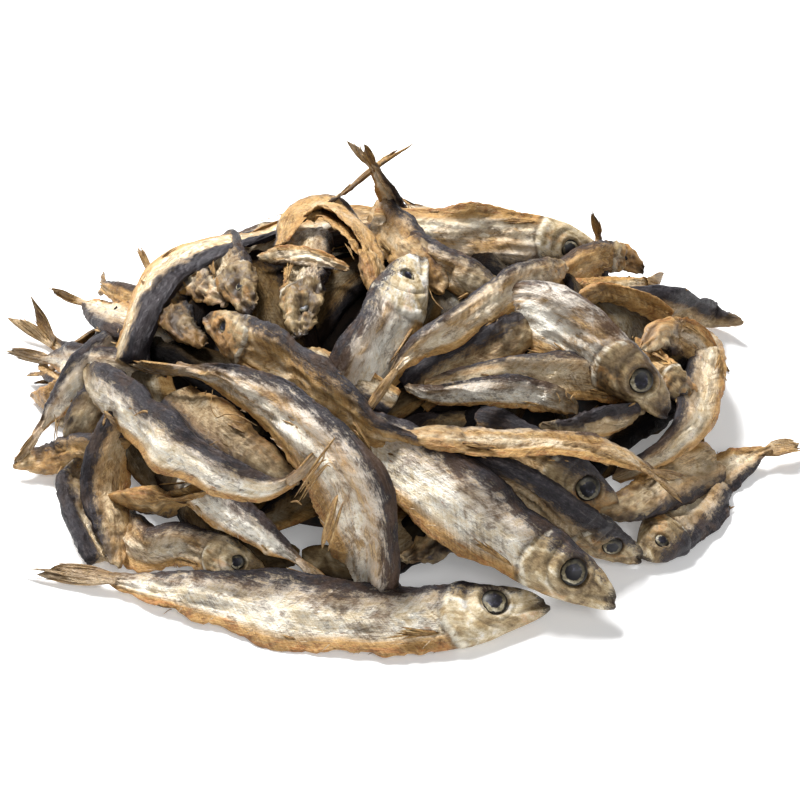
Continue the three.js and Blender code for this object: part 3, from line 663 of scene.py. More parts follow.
def head_relief(x, up, eye_size, seed):
    """How far the head's skin stands out, in mm on a fish 18 mm deep."""
    eye = eye_distance(x, up, eye_size)
    gill = gill_distance(x, up)
    cheek = np.hypot(x - CHEEK_AT[0], up - CHEEK_AT[1]) - CHEEK_RADIUS
    _, above = from_mouth(x, up)
    relief = 0.75 * smoothstep(-gill, -0.01, 0.05) * smoothstep(x, 0.55, 0.95)
    relief -= 0.5 * smoothstep(-gill, 0.04, 0.3) * smoothstep(x, 0.8, 1.0)
    relief += 0.4 * ridge(cheek, 0.07, 0.05) * smoothstep(x, 0.5, 0.72)
    relief += 0.4 * ridge(above, -0.08, 0.05) * smoothstep(x, 0.5, 0.3)
    relief -= 0.5 * ridge(above, 0.06, 0.07) * smoothstep(x, 0.55, 0.3)
    relief += 0.35 * ridge(eye, 1.3, 0.18) - 1.1 * smoothstep(eye, 1.12, 0.9)
    relief -= 0.55 * head_lines(x, up, eye_size)
    relief += 0.4 * noise(x * 4, up * 5, 0, seed) + 0.14 * noise(x * 12, up * 14, 4, seed)
    return relief


def body_relief(x, up, height, seed):
    """How far the body's skin stands out, in mm: dried in over the flesh."""
    bent = up + 1.0 * noise(x / 8, up / 6, 14, seed)
    level = bent / np.maximum(height, 0.5)
    groove = 0.6 * ridge(level, 0.12, 0.12) * (0.7 + 0.6 * noise(x / 12, 0, 15, seed))
    groove += 0.4 * ridge(level, -0.42, 0.12)
    rib = x + 0.8 * np.abs(bent - 0.12 * height)
    chevrons = 0.1 * np.sin(rib * 2 * np.pi / 1.7 + 2 * noise(x / 9, up / 3, 1, seed))
    lumps = 0.8 * noise(x / 8, up / 4, 2, seed)
    folds = 1.0 * (0.35 - np.abs(noise(x / 8, bent / 1.9, 3, seed)))
    cross = 0.6 * (0.3 - np.abs(noise((x + 0.6 * up) / 4.5, bent / 6, 16, seed)))
    wrinkles = 0.35 * (0.35 - np.abs(noise(x / 2.4, bent / 0.8, 5, seed)))
    return lumps + folds + cross + wrinkles + chevrons - groove


def section(lie, edge, rounded):
    """Half the thickness round a body, as a share: full at a head, a wedge behind it."""
    full = np.abs(edge) ** np.where(lie > 0, 0.8, 1.0)
    wedge = np.interp(lie, SECTION_AT, SECTION)
    return rounded * full + (1 - rounded) * wedge


def head_folds(x, up, side, seed):
    """The wrinkles of a crumpled head, in mm."""
    return (0.7 * noise(x / 3.2, up / 2.2, side, seed + 7)
            + 1.0 * (0.3 - np.abs(noise(x / 2.4, up / 1.3, side, seed + 8)))
            + 0.3 * noise(x / 0.9, up / 0.7, side, seed + 9))


def torn_keel(x, share, lie, ragged, seed):
    """How far the thin edge under the belly is torn away, in mm."""
    torn = ragged * smoothstep(share, 0.17, 0.25) * smoothstep(-lie, 0.82, 1)
    return torn * (0.7 * noise(x / 5, 0, 8, seed) + 0.45 * noise(x / 1.1, 0, 9, seed)
                   + 0.9 * np.maximum(0, noise(x / 3, 0, 18, seed) - 0.45))


def uneven_crest(x, lie, seed):
    """How far the back's line stands up, in mm."""
    return smoothstep(lie, 0.8, 1) * (0.3 * noise(x / 6, 0, 10, seed) + 0.14 * noise(x / 1.3, 0, 11, seed))


def skin_values(row):
    """The values that the skin's material reads, the same all over a fish."""
    return dict(tone=row["tone"], wear=[float(row["eye"] > 0), row["coarse"], row["pale"]],
                shade=row["shade"])


def body(collector, laid, rings, around):
    """Adds a fish's body, from the snout or where it leaves the heap to the tail's root."""
    row, depth, seed = laid.row, laid.depth, laid.seed
    size = depth / MODEL_DEPTH
    last = min(laid.end, TAIL_ROOT + 0.01)
    even = np.linspace(0, 1, rings + 2)
    spaced = 0.42 * even + 0.58 * even**1.8 if laid.start == 0 else even
    shares = laid.start + (last - laid.start) * spaced
    shares[0] = laid.start + 0.001
    share = shares[1:-1, None]
    centre, back, flank, ahead = laid.frame(shares)
    x = share * LENGTH_TO_DEPTH * depth
    lie, edge = np.cos(circle(around))[None], np.sin(circle(around))[None]

    # A body that leaves the heap starts blunt, and one with a closed tail
    # narrows and thins towards it. Off the head it has shrunk unevenly.
    blunt = smoothstep(even[1:-1, None], -0.02, 0.03) if laid.start > 0 else 1.0
    if row["spread"] < CLOSED_TAIL:
        blunt = blunt * (1 - 0.45 * smoothstep(share, 0.76, TAIL_ROOT))
    on_body = smoothstep(share, 0.18, 0.3)
    height = laid.half_height(share) * (1 + (0.05 + 0.1 * on_body) * noise(x / 9, 0, 6, seed)) * blunt
    shrunk = 1 + 0.3 * noise(x / 11, 0, 7, seed) * on_body
    at_tail = smoothstep(share, TAIL_ROOT - 0.1, TAIL_ROOT)
    thick = laid.half_thickness(share) * shrunk * (1 - 0.16 * on_body) * (1 - 0.5 * at_tail)
    up = lie * height
    side = np.sign(edge)

    # A head that has dried past telling keeps a third of its relief. It ends
    # in the body's relief at the gill cover's edge.
    head_x, head_up = x / depth, up / depth
    has_head = laid.start == 0
    plain_head = 1 if row["eye"] else 0.35
    uneven = (0.08 - 0.05 * plain_head) * noise(x / 2.5, up / 2.5, side, seed)
    gill = gill_distance(head_x, head_up) + uneven
    gill = gill if has_head else np.ones_like(gill)
    in_head = smoothstep(gill, 0.05, -0.02)
    rounded = smoothstep(gill, 0.25, -0.1) if has_head else smoothstep(share, 0.2, 0.05)
    out = side * section(lie, edge, rounded) * thick
    skin_seed = seed + OTHER_SIDE * (side > 0)
    relief = (in_head * size * plain_head * head_relief(head_x, head_up, row["eye"], skin_seed)
              + (1 - in_head) * body_relief(x, up, height, skin_seed))

    # Folds: a head that is crumpled, or dried past telling, has wrinkles.
    crumpled = max(row["crumple"] - 1, 0.0 if row["eye"] else 0.5) * smoothstep(share, 0.4, 0.2) * has_head
    folds = head_folds(x, up, side, seed)
    relief = relief * np.abs(edge) ** 0.5 * np.where(lie < -0.7, 0.6, 1) + crumpled * folds

    # The lower jaw juts, and the lips part a little.
    _, above = from_mouth(head_x, head_up)
    tip = has_head * smoothstep(head_x, 0.34, 0.05)
    forward = 0.055 * depth * tip * smoothstep(above, 0.01, -0.03)
    parted = 0.02 * depth * tip * np.sign(above)

    # An open belly: its walls stand up as lips round a hollow.
    split = row["opened"] * smoothstep(share, 0.2, 0.28) * smoothstep(share, 0.7, 0.55)
    hollow = split * smoothstep(-lie, 0.72, 0.9)
    lips = split * ridge(-lie, 0.66, 0.16)
    ragged_lip = 1 + 0.5 * noise(x / 3, side, 12, seed)

    # The flanks sway, and the relief stands out square to the section.
    sway = 1.0 * noise(x / 14, 0, 13, seed) * on_body + 0.9 * noise(x / 9, up / 7, 17, seed) * on_body
    along_y, along_z = lie * thick, edge * height
    norm = np.hypot(along_y, along_z) + 1e-6
    keel = torn_keel(x, share, lie, row["ragged"], seed)
    up_to = (up + relief * along_y / norm + parted + uneven_crest(x, lie, seed) - keel * (1 - hollow)
             + hollow * height * 0.95 - lips * height * 0.12 * ragged_lip)
    out_to = out + relief * along_z / norm + sway + lips * side * thick * 0.5 * ragged_lip
    points = (centre[1:-1, None] + back[1:-1, None] * up_to[..., None]
              + flank[1:-1, None] * out_to[..., None] + ahead[1:-1, None] * forward[..., None])

    # What the material reads: places on the skin, on the head, and marks,
    # whose lines are painted shade in the head's creases and folds.
    lines = head_lines(head_x, head_up, row["eye"]) * smoothstep(gill, 0.15, 0.08) * plain_head
    lines = lines * (0.75 + 0.35 * noise(x / 2, up / 2, side, seed))
    lines = np.maximum(lines, np.minimum(crumpled, 1) * smoothstep(-folds, 0.0, 0.7))
    skin = stacked(x + SKIN_OFFSET * seed, up, out)
    head = stacked(gill, head_up - 0.2 * crumpled, head_x)
    marks = stacked(hollow, TAIL_FIN * at_tail, lines)
    first, last = shares[[0, -1]] * LENGTH_TO_DEPTH * depth + SKIN_OFFSET * seed
    collector.add(closed(points, centre[0], centre[-1]), tube_faces(rings, around),
                  skin=closed(skin, [first, 0, 0], [last, 0, 0]),
                  head=closed(head, [head[0, 0, 0], 0, 0], [head[-1, 0, 0], *OFF_HEAD[1:]]),
                  marks=closed(marks, marks[0, 0], marks[-1, 0]),
                  lie=closed(stacked(lie * np.ones_like(x)), [0], [0]), **skin_values(row))


def ribbons(collector, laid, lines, across, widths, thick, fin=1.0):
    """Adds flat closed strips along lines of points: rays, fins and bristles."""
    count, steps = lines.shape[:2]
    tangent = unit(np.gradient(lines, axis=1) + 1e-9)
    across = unit(across - (across * tangent).sum(-1, keepdims=True) * tangent)
    normal = np.cross(tangent, across)
    turn = circle(STRIP_SIDES)
    edge = np.cos(turn)[:, None] * widths[..., None, None]
    rim = (lines[:, :, None] + across[:, :, None] * edge
           + normal[:, :, None] * (np.sin(turn)[:, None] * thick[..., None, None]))
    rim[..., 2] += np.maximum(0, FLOOR_GAP - rim[..., 2].min(axis=2, keepdims=True))
    lengths = np.cumsum(np.linalg.norm(np.diff(lines, axis=1, prepend=lines[:, :1]), axis=-1), axis=1)
    faces = tube_faces(steps - 2, STRIP_SIDES)
    for k in range(count):
        points = closed(rim[k, 1:-1], lines[k, 0], lines[k, -1])
        along = lengths[k][:, None] + SKIN_OFFSET * laid.seed + 9 * k
        skin = stacked(along, edge[k, :, :, 0] + 3 * k, 0)
        collector.add(points, faces, skin=closed_by_ends(skin), head=OFF_HEAD,
                      marks=[0.0, fin, 0.0], lie=0.0, **skin_values(laid.row))


def blade(collector, laid, toward, reach, width, curl, draw):
    """Adds one lobe of a tail, or a whole closed tail: rays dried together to a thin blade."""
    row, depth, seed = laid.row, laid.depth, laid.seed
    taper, frayed = (0.1, 1) if toward else (0.38, 2.5)

    def surface(along, across, lift, rounding):
        """Places on the blade, and how far along the fish and up they are."""
        uneven = 0.1 * noise(across * 2, toward, 0, seed) + 0.06 * noise(across * 7, toward, 1, seed)
        go = along * reach * (1 + 0.28 * toward * across + frayed * uneven * along)
        at = TAIL_FROM + go * (1 - TAIL_FROM)
        middle, up, out, to_snout = laid.frame(np.minimum(at, 1))
        past = np.maximum(at - 1, 0) * LENGTH_TO_DEPTH * depth
        opened = smoothstep(go, 0.1, 0.75)
        closed_tail = (1 - abs(toward)) * 0.25 * row["spread"] * smoothstep(go, 0, 0.4)
        half = (0.07 + closed_tail + width * opened) * (1 - taper * go) * rounding
        spine = toward * (0.06 + (0.03 + 0.26 * row["spread"]) * go**1.2)
        height = spine + across * half
        wave = curl * go**2 + 0.09 * noise(height * 5, go * 2, toward, seed) * go
        grooves = 0.016 * np.sin(across * 18) * opened
        places = (middle - to_snout * past[..., None] + up * (height * depth)[..., None]
                  + out * ((wave + grooves + lift) * depth)[..., None])

        # Where the blade would go through the floor it is raised, ring by ring.
        low = middle[..., 2] - to_snout[..., 2] * past + depth * (
            up[..., 2] * spine + out[..., 2] * wave - np.abs(up[..., 2]) * half - BLADE_LIFT)
        places[..., 2] += np.maximum(0, -low)
        return places, at, height, up

    rings, around = BLADE
    along = np.linspace(0, 1, rings + 2)[:, None]
    across, side = np.cos(circle(around))[None], np.sin(circle(around))[None]
    grown = smoothstep(along, -0.05, 0.25)
    thick = (0.045 - 0.025 * along) * grown * np.abs(side) ** 0.6 * np.sign(side)
    points, at, height, _ = surface(along, across, thick, np.sqrt(1 - along ** (24 if toward else 6)))
    skin = stacked(at * LENGTH_TO_DEPTH * depth + SKIN_OFFSET * seed + 30 * toward, height * depth, 0)
    _, dark, _ = row["tone"]
    rim = smoothstep(np.abs(across), 0.7, 1) * (0.25 + 0.4 * dark) * np.ones_like(along)
    marks = stacked(0, TAIL_FIN, rim)
    lie = stacked(np.clip(0.25 + 0.4 * toward + 0.35 * across, -1, 1) * np.ones_like(along))
    collector.add(closed(points[1:-1], points[0].mean(0), points[-1].mean(0)), tube_faces(rings, around),
                  skin=closed_by_ends(skin), head=OFF_HEAD, marks=closed_by_ends(marks),
                  lie=closed_by_ends(lie), **skin_values(row))

    # Rays that stand out a little, each to a length of its own.
    tips = np.array([draw(0.88, 1.16) for _ in range(RAYS)])[:, None]
    along = np.linspace(0.2, 1, RAY_STEPS) * tips
    across = np.linspace(-0.88, 0.88, RAYS)[:, None] + 0.1 * noise(along * 4, tips * 40, toward, seed)
    lines, _, _, up = surface(along, across, 0, 1)
    ribbons(collector, laid, lines, up, 0.28 - 0.2 * along, (0.045 - 0.025 * along) * depth + 0.09)


def tail(collector, laid, draw):
    """Adds a tail: two lobes, or one blade where it is closed."""
    spread = laid.row["spread"]
    if spread < CLOSED_TAIL:
        blade(collector, laid, 0, draw(0.95, 1.05), draw(0.04, 0.08), draw(-0.1, 0.1), draw)
        return
    for toward in (1, -1):
        blade(collector, laid, toward, draw(0.85, 1.05), draw(0.1, 0.15), draw(-0.18, 0.18), draw)


def surface_strips(collector, laid, share, up, lengths, angles, side, width, lift, draw, fin=1.0):
    """Adds strips that grow from one place on the skin and lie back along it."""
    depth = laid.depth
    lines, across, widths = [], [], []
    along = np.linspace(0, 1, STRIP_POINTS)
    for length, angle in zip(lengths, angles):
        bend = draw(-0.12, 0.12)
        go = along * length * np.cos(angle)
        rise = along * length * np.sin(angle) + bend * length * along**2
        at = np.clip(share + go / (LENGTH_TO_DEPTH * depth), laid.start, 1)
        level = up + rise / depth
        limit = 0.96 * laid.half_height(at) / depth
        held = np.clip(level, -limit, limit)
        spots = laid.on_skin(at, held, side, lift * (0.4 + 1.6 * along * (1 - 0.3 * along)))
        _, back, _, _ = laid.frame(at)
        lines.append(spots + back * ((level - held) * depth)[:, None])
        across.append(back)
        widths.append(width * (1 - 0.8 * along**2) * draw(0.7, 1.2) + 0.03)
    thick = np.full((len(lines), STRIP_POINTS), STRIP_THICK)
    ribbons(collector, laid, np.array(lines), np.array(across), np.array(widths), thick, fin)


def fins(collector, laid, draw):
    """Adds what has dried of the fins: pectoral, pelvic, back and anal."""
    depth = laid.depth

    def fan(side, share, up, rays, length, lean, opening, width, lift):
        if not laid.start + 0.02 < share < laid.end - 0.05:
            return
        lengths = [length * depth * draw(0.6, 1.1) for _ in range(rays)]
        angles = [lean + opening * ((k + 0.5) / rays - 0.5) + draw(-0.05, 0.05) for k in range(rays)]
        surface_strips(collector, laid, share, up, lengths, angles, side, width * depth, lift, draw)

    for side in (1, -1):
        for fin in PAIRED_FINS:
            fan(side, **fin)
    for fin in SINGLE_FINS:
        fan(1, **fin)


def bristles(collector, laid, draw):
    """Adds the fine bones that stand out of a torn belly."""
    depth = laid.depth
    low, high = max(laid.start, 0.2), min(laid.end, 0.72)
    if high - low < 0.1:
        return
    for _ in range(round(BRISTLES * laid.row["ragged"] ** 2)):
        share = draw(low, high)
        under = -0.76 * float(laid.half_height(np.array([share]))[0]) / depth
        surface_strips(collector, laid, share, under, [draw(0.06, 0.16) * depth], [draw(-0.9, -0.1)],
                       1 if draw(0, 1) < 0.5 else -1, 0.14, 0.1, draw, fin=0.7)


def strips(collector):
    """Adds the fibres and strips of torn skin."""
    row = fish(1, LEFT, [0, 0], WHOLE, STRIP_TONE, None)
    for number, (width, path) in enumerate(STRIPS):
        laid = LaidFish(row, [place_by_pixel(*place) for place in path], to_eye, FIRST_STRIP + number)
        line = laid.line[None, ::FIBRE_EVERY]
        steps = np.linspace(-1, 1, line.shape[1])[None]
        widths = width * (1 - 0.8 * np.abs(steps) ** 3)
        across = np.cross(unit(np.gradient(line, axis=1)), to_eye(line))
        ribbons(collector, laid, line, across, widths, np.minimum(FIBRE_THICK, widths), fin=0.8)


def eyes(collector, laid):
    """Adds a fish's two eyes: flat balls sunk in their sockets."""
    if laid.start > 0 or not laid.row["eye"]:
        return
    share = np.array([EYE_AT[0] / LENGTH_TO_DEPTH])
    _, back, flank, ahead = laid.frame(share)
    rows, around = EYE_BALL
    tilt = (np.pi * (np.arange(rows) + 1) / (rows + 1))[:, None]
    turn = circle(around)
    spoke = np.cos(turn)[:, None] * ahead[0] + np.sin(turn)[:, None] * back[0]
    radius = EYE_RADIUS * laid.depth * EYE_SWELL * laid.row["eye"]
    bulge = EYE_BULGE * radius
    sunk = EYE_SUNK * laid.depth / MODEL_DEPTH + 0.85 * max(laid.row["crumple"] - 1, 0) ** 1.5
    ring = np.where(np.cos(tilt) < 0, 1.0, np.sin(tilt))
    for side in (1, -1):
        middle = laid.on_skin(share, np.array([EYE_AT[1]]), side, -sunk)[0]
        out = flank[0] * side
        points = (middle + np.sin(tilt)[..., None] * radius * spoke
                  + out * (np.cos(tilt)[..., None] * bulge))
        number = laid.seed * 7.0 + side
        place = stacked(ring * np.cos(turn), ring * np.sin(turn), number)
        faces = [face[:, ::side] for face in tube_faces(rows, around)]
        collector.add(closed(points, middle + out * bulge, middle - out * bulge), faces,
                      eye=closed(place, [0, 0, number], [1, 0, number]))


def inside_rim(x, y, reach):
    """Draws places that lie past the mound's rim in to it."""
    across, along = (x - MOUND_X) / MOUND_RADIUS_X, (y - MOUND_Y) / MOUND_RADIUS_Y
    pull = np.minimum(1, reach / np.maximum(np.hypot(across, along), 1e-9))
    inside = MOUND_X + across * pull * MOUND_RADIUS_X
    return inside, np.minimum(MOUND_Y + along * pull * MOUND_RADIUS_Y, back_edge(inside))


def path_by_rule(row, place, draw, deep):
    """A path over the mound, across a place of its row, from the snout on."""
    low, high = row["bearings"]
    bearing = math.radians(low + (high - low) * (place + draw(0.2, 0.8)) / row["count"])
    length = draw(*LAID_LENGTH)
    flip = 0 if draw(0, 1) < 0.5 else math.pi
    heading = bearing + math.pi / 2 + flip + math.radians(draw(-LAID_TURN, LAID_TURN))
    bend = math.radians(draw(-LAID_BEND, LAID_BEND))
    along = np.linspace(-0.5, 0.5, LAID_POINTS)
    turn = heading + bend * along
    reach = BACK_REACH if math.sin(bearing) > 0 else MOUND_RADIUS_Y
    middle_x = MOUND_X + row["share"] * MOUND_RADIUS_X * math.cos(bearing)
    middle_y = MOUND_Y + row["share"] * reach * math.sin(bearing)
    x, y = inside_rim(middle_x + along * length * np.cos(turn), middle_y + along * length * np.sin(turn),
                      DEEP_REACH if deep else LAID_REACH)
    z = mound_height(x, y) + row["lift"]
    if deep:
        z -= DEEP_BEHIND * smoothstep(y, BEHIND_FROM, BEHIND_TO)
    else:
        z += LAYERS[place % len(LAYERS)] - LAID_DIP * np.maximum(0, RIDGE_Y - y)
        z = np.maximum(LAID_LOWEST, z)
    return stacked(x, y, z)


def laid_by_rule(rows, seed, first_number, deep=False):
    """Fish that a rule lays round the mound, in rows."""
    draw, draw_tone = draw_from(seed), draw_from(seed + TONE_SEEDS)
    found = []
    for row, place in ((row, place) for row in rows for place in range(row["count"])):
        points = path_by_rule(row, place, draw, deep)
        depth = draw(*LAID_DEPTH)
        roll = [draw(*LAID_ROLL), draw(*LAID_ROLL)]
        back = LEFT if draw(0, 1) < 0.5 else RIGHT
        tone = [draw_tone(*limits) for limits in LAID_TONE]
        looks = dict(spread=draw_tone(*LAID_SPREAD), crumple=draw_tone(*LAID_CRUMPLE))
        # A deeper fish's colour is darkened: painted shade.
        if deep:
            looks["shade"] = draw_tone(*row["shade"])
        elif points[0, 1] > RIDGE_Y:
            looks["eye"] = max(0, draw_tone(*LAID_EYE))
        found.append(LaidFish(fish(depth, back, roll, WHOLE, tone, None, **looks), points, outward,
                              first_number + len(found)))
    return found


def colour(red, green, blue):
    """A colour of the screen, 0 to 255, as light."""
    parts = [value / 255 for value in (red, green, blue)]
    return [p / 12.92 if p <= 0.04045 else ((p + 0.055) / 1.055) ** 2.4 for p in parts] + [1]


class Paint:
    """Builds a material's nodes from short calls."""

    def __init__(self, name):
        self.material = bpy.data.materials.new(name)
        self.material.use_nodes = True
        self.nodes, self.links = self.material.node_tree.nodes, self.material.node_tree.links
        self.shader = self.nodes["Principled BSDF"]

    def node(self, kind, **settings):
        made = self.nodes.new(kind)
        for key, value in settings.items():
            setattr(made, key, value)
        return made

    def feed(self, sockets, values):
        """Gives each named or numbered socket its value or what feeds it."""
        for key, value in values.items():
            if isinstance(value, bpy.types.NodeSocket):
                self.links.new(value, sockets[key])
            else:
                sockets[key].default_value = value

    def surface(self, looks):
        """Feeds the shader, and hands back the finished material."""
        self.feed(self.shader.inputs, looks)
        return self.material

    def attribute(self, name):
        return self.node("ShaderNodeAttribute", attribute_name=name).outputs

    def split(self, vector):
        made = self.node("ShaderNodeSeparateXYZ")
        self.feed(made.inputs, {0: vector})
        return made.outputs

    def slanted(self, skin):
        """Places on the skin, turned to run along the ribs above and below the middle line."""
        along, up, out = self.split(skin)
        made = self.node("ShaderNodeCombineXYZ")
        self.feed(made.inputs, {0: self.total(along, (self.math("ABSOLUTE", up), 0.9)), 1: up, 2: out})
        return made.outputs[0]

    def math(self, operation, *values):
        made = self.node("ShaderNodeMath", operation=operation)
        self.feed(made.inputs, dict(enumerate(values)))
        return made.outputs[0]

    def times(self, first, second):
        return self.math("MULTIPLY", first, second)

    def away(self, value, middle):
        """How far a value is from a middle, to either side."""
        return self.math("ABSOLUTE", self.math("SUBTRACT", value, middle))

    def total(self, *terms):
        """The sum of values, each a socket or a pair of a socket and its weight."""
        result = 0.0
        for term in terms:
            if isinstance(term, tuple):
                result = self.math("MULTIPLY_ADD", *term, result)
            else:
                result = self.math("ADD", term, result)
        return result

    def noise(self, place, stretch, detail=3.0, rough=0.55, warp=0.0):
        """Noise on the places, each of their directions stretched, spread to 0 to 1."""
        scaled = self.node("ShaderNodeVectorMath", operation="MULTIPLY")
        self.feed(scaled.inputs, {0: place, 1: stretch})
        made = self.node("ShaderNodeTexNoise")
        self.feed(made.inputs, {"Vector": scaled.outputs[0], "Scale": 1.0, "Detail": detail,
                                "Roughness": rough, "Distortion": warp})
        return self.step(made.outputs[0], 0.3, 0.7, "LINEAR")

    def step(self, value, low, high, curve="SMOOTHSTEP"):
        """From 0 to 1 as the value goes from low to high."""
        made = self.node("ShaderNodeMapRange", interpolation_type=curve)
        self.feed(made.inputs, {"Value": value, "From Min": low, "From Max": high})
        return made.outputs[0]

    def ramp(self, value, stops):
        """Colours of the screen between stops from 0 to 1."""
        made = self.node("ShaderNodeValToRGB")
        self.feed(made.inputs, {0: value})
        elements = made.color_ramp.elements
        while len(elements) < len(stops):
            elements.new(0.5)
        for element, (at, shade) in zip(elements, stops):
            element.position = at
            element.color = colour(*shade)
        return made.outputs[0]

    def mix(self, share, first, second, blend="MIX"):
        made = self.node("ShaderNodeMix", data_type="RGBA", blend_type=blend)
        self.feed(made.inputs, {0: share, 6: first, 7: second})
        return made.outputs[2]

    def stain(self, under, where, strength, *shade):
        """A colour of the screen laid over what is under it, at most this strongly."""
        return self.mix(self.times(where, strength), under, colour(*shade))


def skin_material(name, specular):
    """Dried skin: dark back, silver flank, tan belly, golden head, by values on the mesh."""
    paint = Paint(name)
    total, times, step, mix, stain = paint.total, paint.times, paint.step, paint.mix, paint.stain
    skin = paint.attribute("skin")["Vector"]
    gill, head_up, head_x = paint.split(paint.attribute("head")["Vector"])
    raw, fin, line = paint.split(paint.attribute("marks")["Vector"])
    gold, dark, bright = paint.split(paint.attribute("tone")["Vector"])
    clear, coarse, pale = paint.split(paint.attribute("wear")["Vector"])
    lie = paint.attribute("lie")["Fac"]

    # Patterns on the skin, from wide patches to fine specks.
    wide = paint.noise(skin, (0.1, 0.16, 0.2), 3)
    smooth = paint.noise(skin, (0.2, 0.26, 0.26), 2, 0.5, 1.0)
    patch = paint.noise(skin, (0.3, 0.5, 0.5), 5, 0.6, 0.6)
    streak = paint.noise(skin, (0.25, 1.9, 1.4), 5, 0.62, 0.5)
    grain = paint.noise(skin, (1.7, 3.2, 2.6), 4, 0.65)
    scratch = paint.noise(skin, (1.2, 6.0, 4.0), 2, 0.5, 0.8)
    speck = paint.noise(skin, (4.2, 5.5, 5), 2, 0.5)
    ribs = paint.noise(paint.slanted(skin), (1.3, 0.12, 0.3), 4, 0.6, 0.4)
    lines = total((streak, 0.55), (ribs, 0.45))

    # The flank: silver, or tan where it has turned golden, with stains, dirt,
    # creases darkened as painted shade, and scratches.
    rough_part = times(coarse, total((lines, 0.42), (grain, 0.16), -0.29))
    silver = paint.ramp(total(rough_part, (patch, 0.3), (smooth, 0.14), (bright, 0.45), 0.145), [
        (0.08, (62, 42, 24)), (0.26, (132, 102, 66)), (0.44, (188, 163, 124)),
        (0.62, (224, 208, 178)), (0.82, (250, 245, 232))])
    tan = paint.ramp(total((patch, 0.3), (smooth, 0.12), rough_part, 0.3), [
        (0.08, (72, 44, 20)), (0.28, (134, 92, 46)), (0.5, (188, 146, 86)),
        (0.72, (222, 190, 136)), (0.93, (245, 229, 196))])
    by_back = step(paint.away(lie, 0.4), 0.3, 0.0)
    by_belly = step(lie, -0.5, -0.95)
    level = total(lie, (wide, 0.3), (patch, 0.2), -0.25)
    cool = times(step(level, -0.1, 0.4), 0.8)
    silver = mix(cool, silver, colour(208, 200, 198), "MULTIPLY")
    low = step(level, -0.35, -1.0)
    golden = step(total((wide, 0.3), (patch, 0.3), (streak, 0.2), (gold, 0.75), (by_back, 0.12),
                        (low, 0.6), -0.395), 0.34, 0.72)
    body = mix(golden, silver, tan)
    rust = step(total((by_belly, 0.3), (patch, 0.5), (streak, 0.5), (smooth, 0.2), -0.34), 0.52, 0.72)
    body = stain(body, rust, 0.75, 164, 100, 38)
    dirt = step(total((lines, 0.45), (patch, -0.35), (wide, -0.3), 0.45), 0.36, 0.1)
    body = stain(body, dirt, times(coarse, 0.6), 88, 56, 26)
    # Creases sink the bump and darken the colour along them: painted shade.
    winding = paint.noise(skin, (0.3, 0.95, 0.8), 4, 0.55, 1.3)
    shaded_crease = times(step(paint.away(winding, 0.5), 0.13, 0.03),
                   step(total((patch, 0.6), (wide, 0.4)), 0.4, 0.62))
    body = stain(body, shaded_crease, 0.42, 92, 62, 34)
    body = stain(body, step(scratch, 0.78, 1.0), times(coarse, 0.45), 84, 66, 48)

    # The back: blue black, with brown patches and a frayed edge.
    back_part = times(coarse, total((grain, 0.4), (streak, 0.4), -0.4))
    back = paint.ramp(total(back_part, (patch, 0.2), 0.4), [
        (0.12, (8, 7, 9)), (0.38, (24, 21, 25)), (0.56, (46, 42, 47)), (0.76, (86, 80, 80)),
        (1.0, (160, 146, 124))])
    brown = step(total((wide, 0.6), (patch, 0.4)), 0.45, 0.75)
    back = stain(back, brown, total((dark, -0.8), 0.8), 96, 68, 40)
    frayed = times(coarse, total((streak, 0.35), (grain, 0.3), -0.32))
    back_share = step(total(lie, frayed, (patch, 0.35), (wide, 0.3), (dark, 0.8), -0.8), 0.3, 0.74)
    body = mix(back_share, body, back)

    # The head: cream to brown, amber in patches, dark on its crown and snout,
    # with a pale edge of the gill cover and dark lines, painted shade in its
    # creases. One that has dried past telling blends into the body.
    head = paint.ramp(total((smooth, 0.42), (grain, 0.16), (patch, 0.26), (streak, 0.1),
                            (pale, 0.36), -0.22), [
        (0.08, (66, 50, 32)), (0.28, (124, 102, 70)), (0.46, (168, 146, 108)),
        (0.64, (210, 194, 162)), (0.84, (248, 244, 236))])
    amber = step(total((wide, 0.4), (patch, 0.4), (gold, 0.5), (head_up, -0.3), -0.32), 0.42, 0.66)
    head = stain(head, amber, 0.6, 184, 130, 64)
    crown = step(total(head_up, (patch, 0.2), (grain, 0.16), (dark, 0.28), -0.32), 0.12, 0.3)
    head = mix(crown, head, back)
    tip = step(total(head_x, (grain, 0.12), -0.06), 0.17, 0.05)
    head = stain(head, tip, times(clear, 0.85), 40, 38, 42)
    in_head = step(total(gill, (grain, 0.05), (patch, 0.05), -0.05), 0.03, -0.03)
    blurred = step(total(gill, (patch, 0.5), (streak, 0.3), -0.35), 0.12, -0.3)
    in_head = total(times(in_head, clear), times(blurred, total((clear, -0.7), 0.7)))
    body = mix(in_head, body, head)
    pale_edge = times(times(step(gill, -0.09, -0.04), step(gill, 0.02, -0.01)),
                      step(total((patch, 0.8), (head_up, -0.5)), 0.25, 0.6))
    body = stain(body, pale_edge, times(clear, 0.85), 228, 220, 200)
    # The marks' lines: painted shade along the head's creases and in the folds of a crumpled head, and the
    # dark rims of tails.
    body = stain(body, line, 0.8, 46, 30, 18)

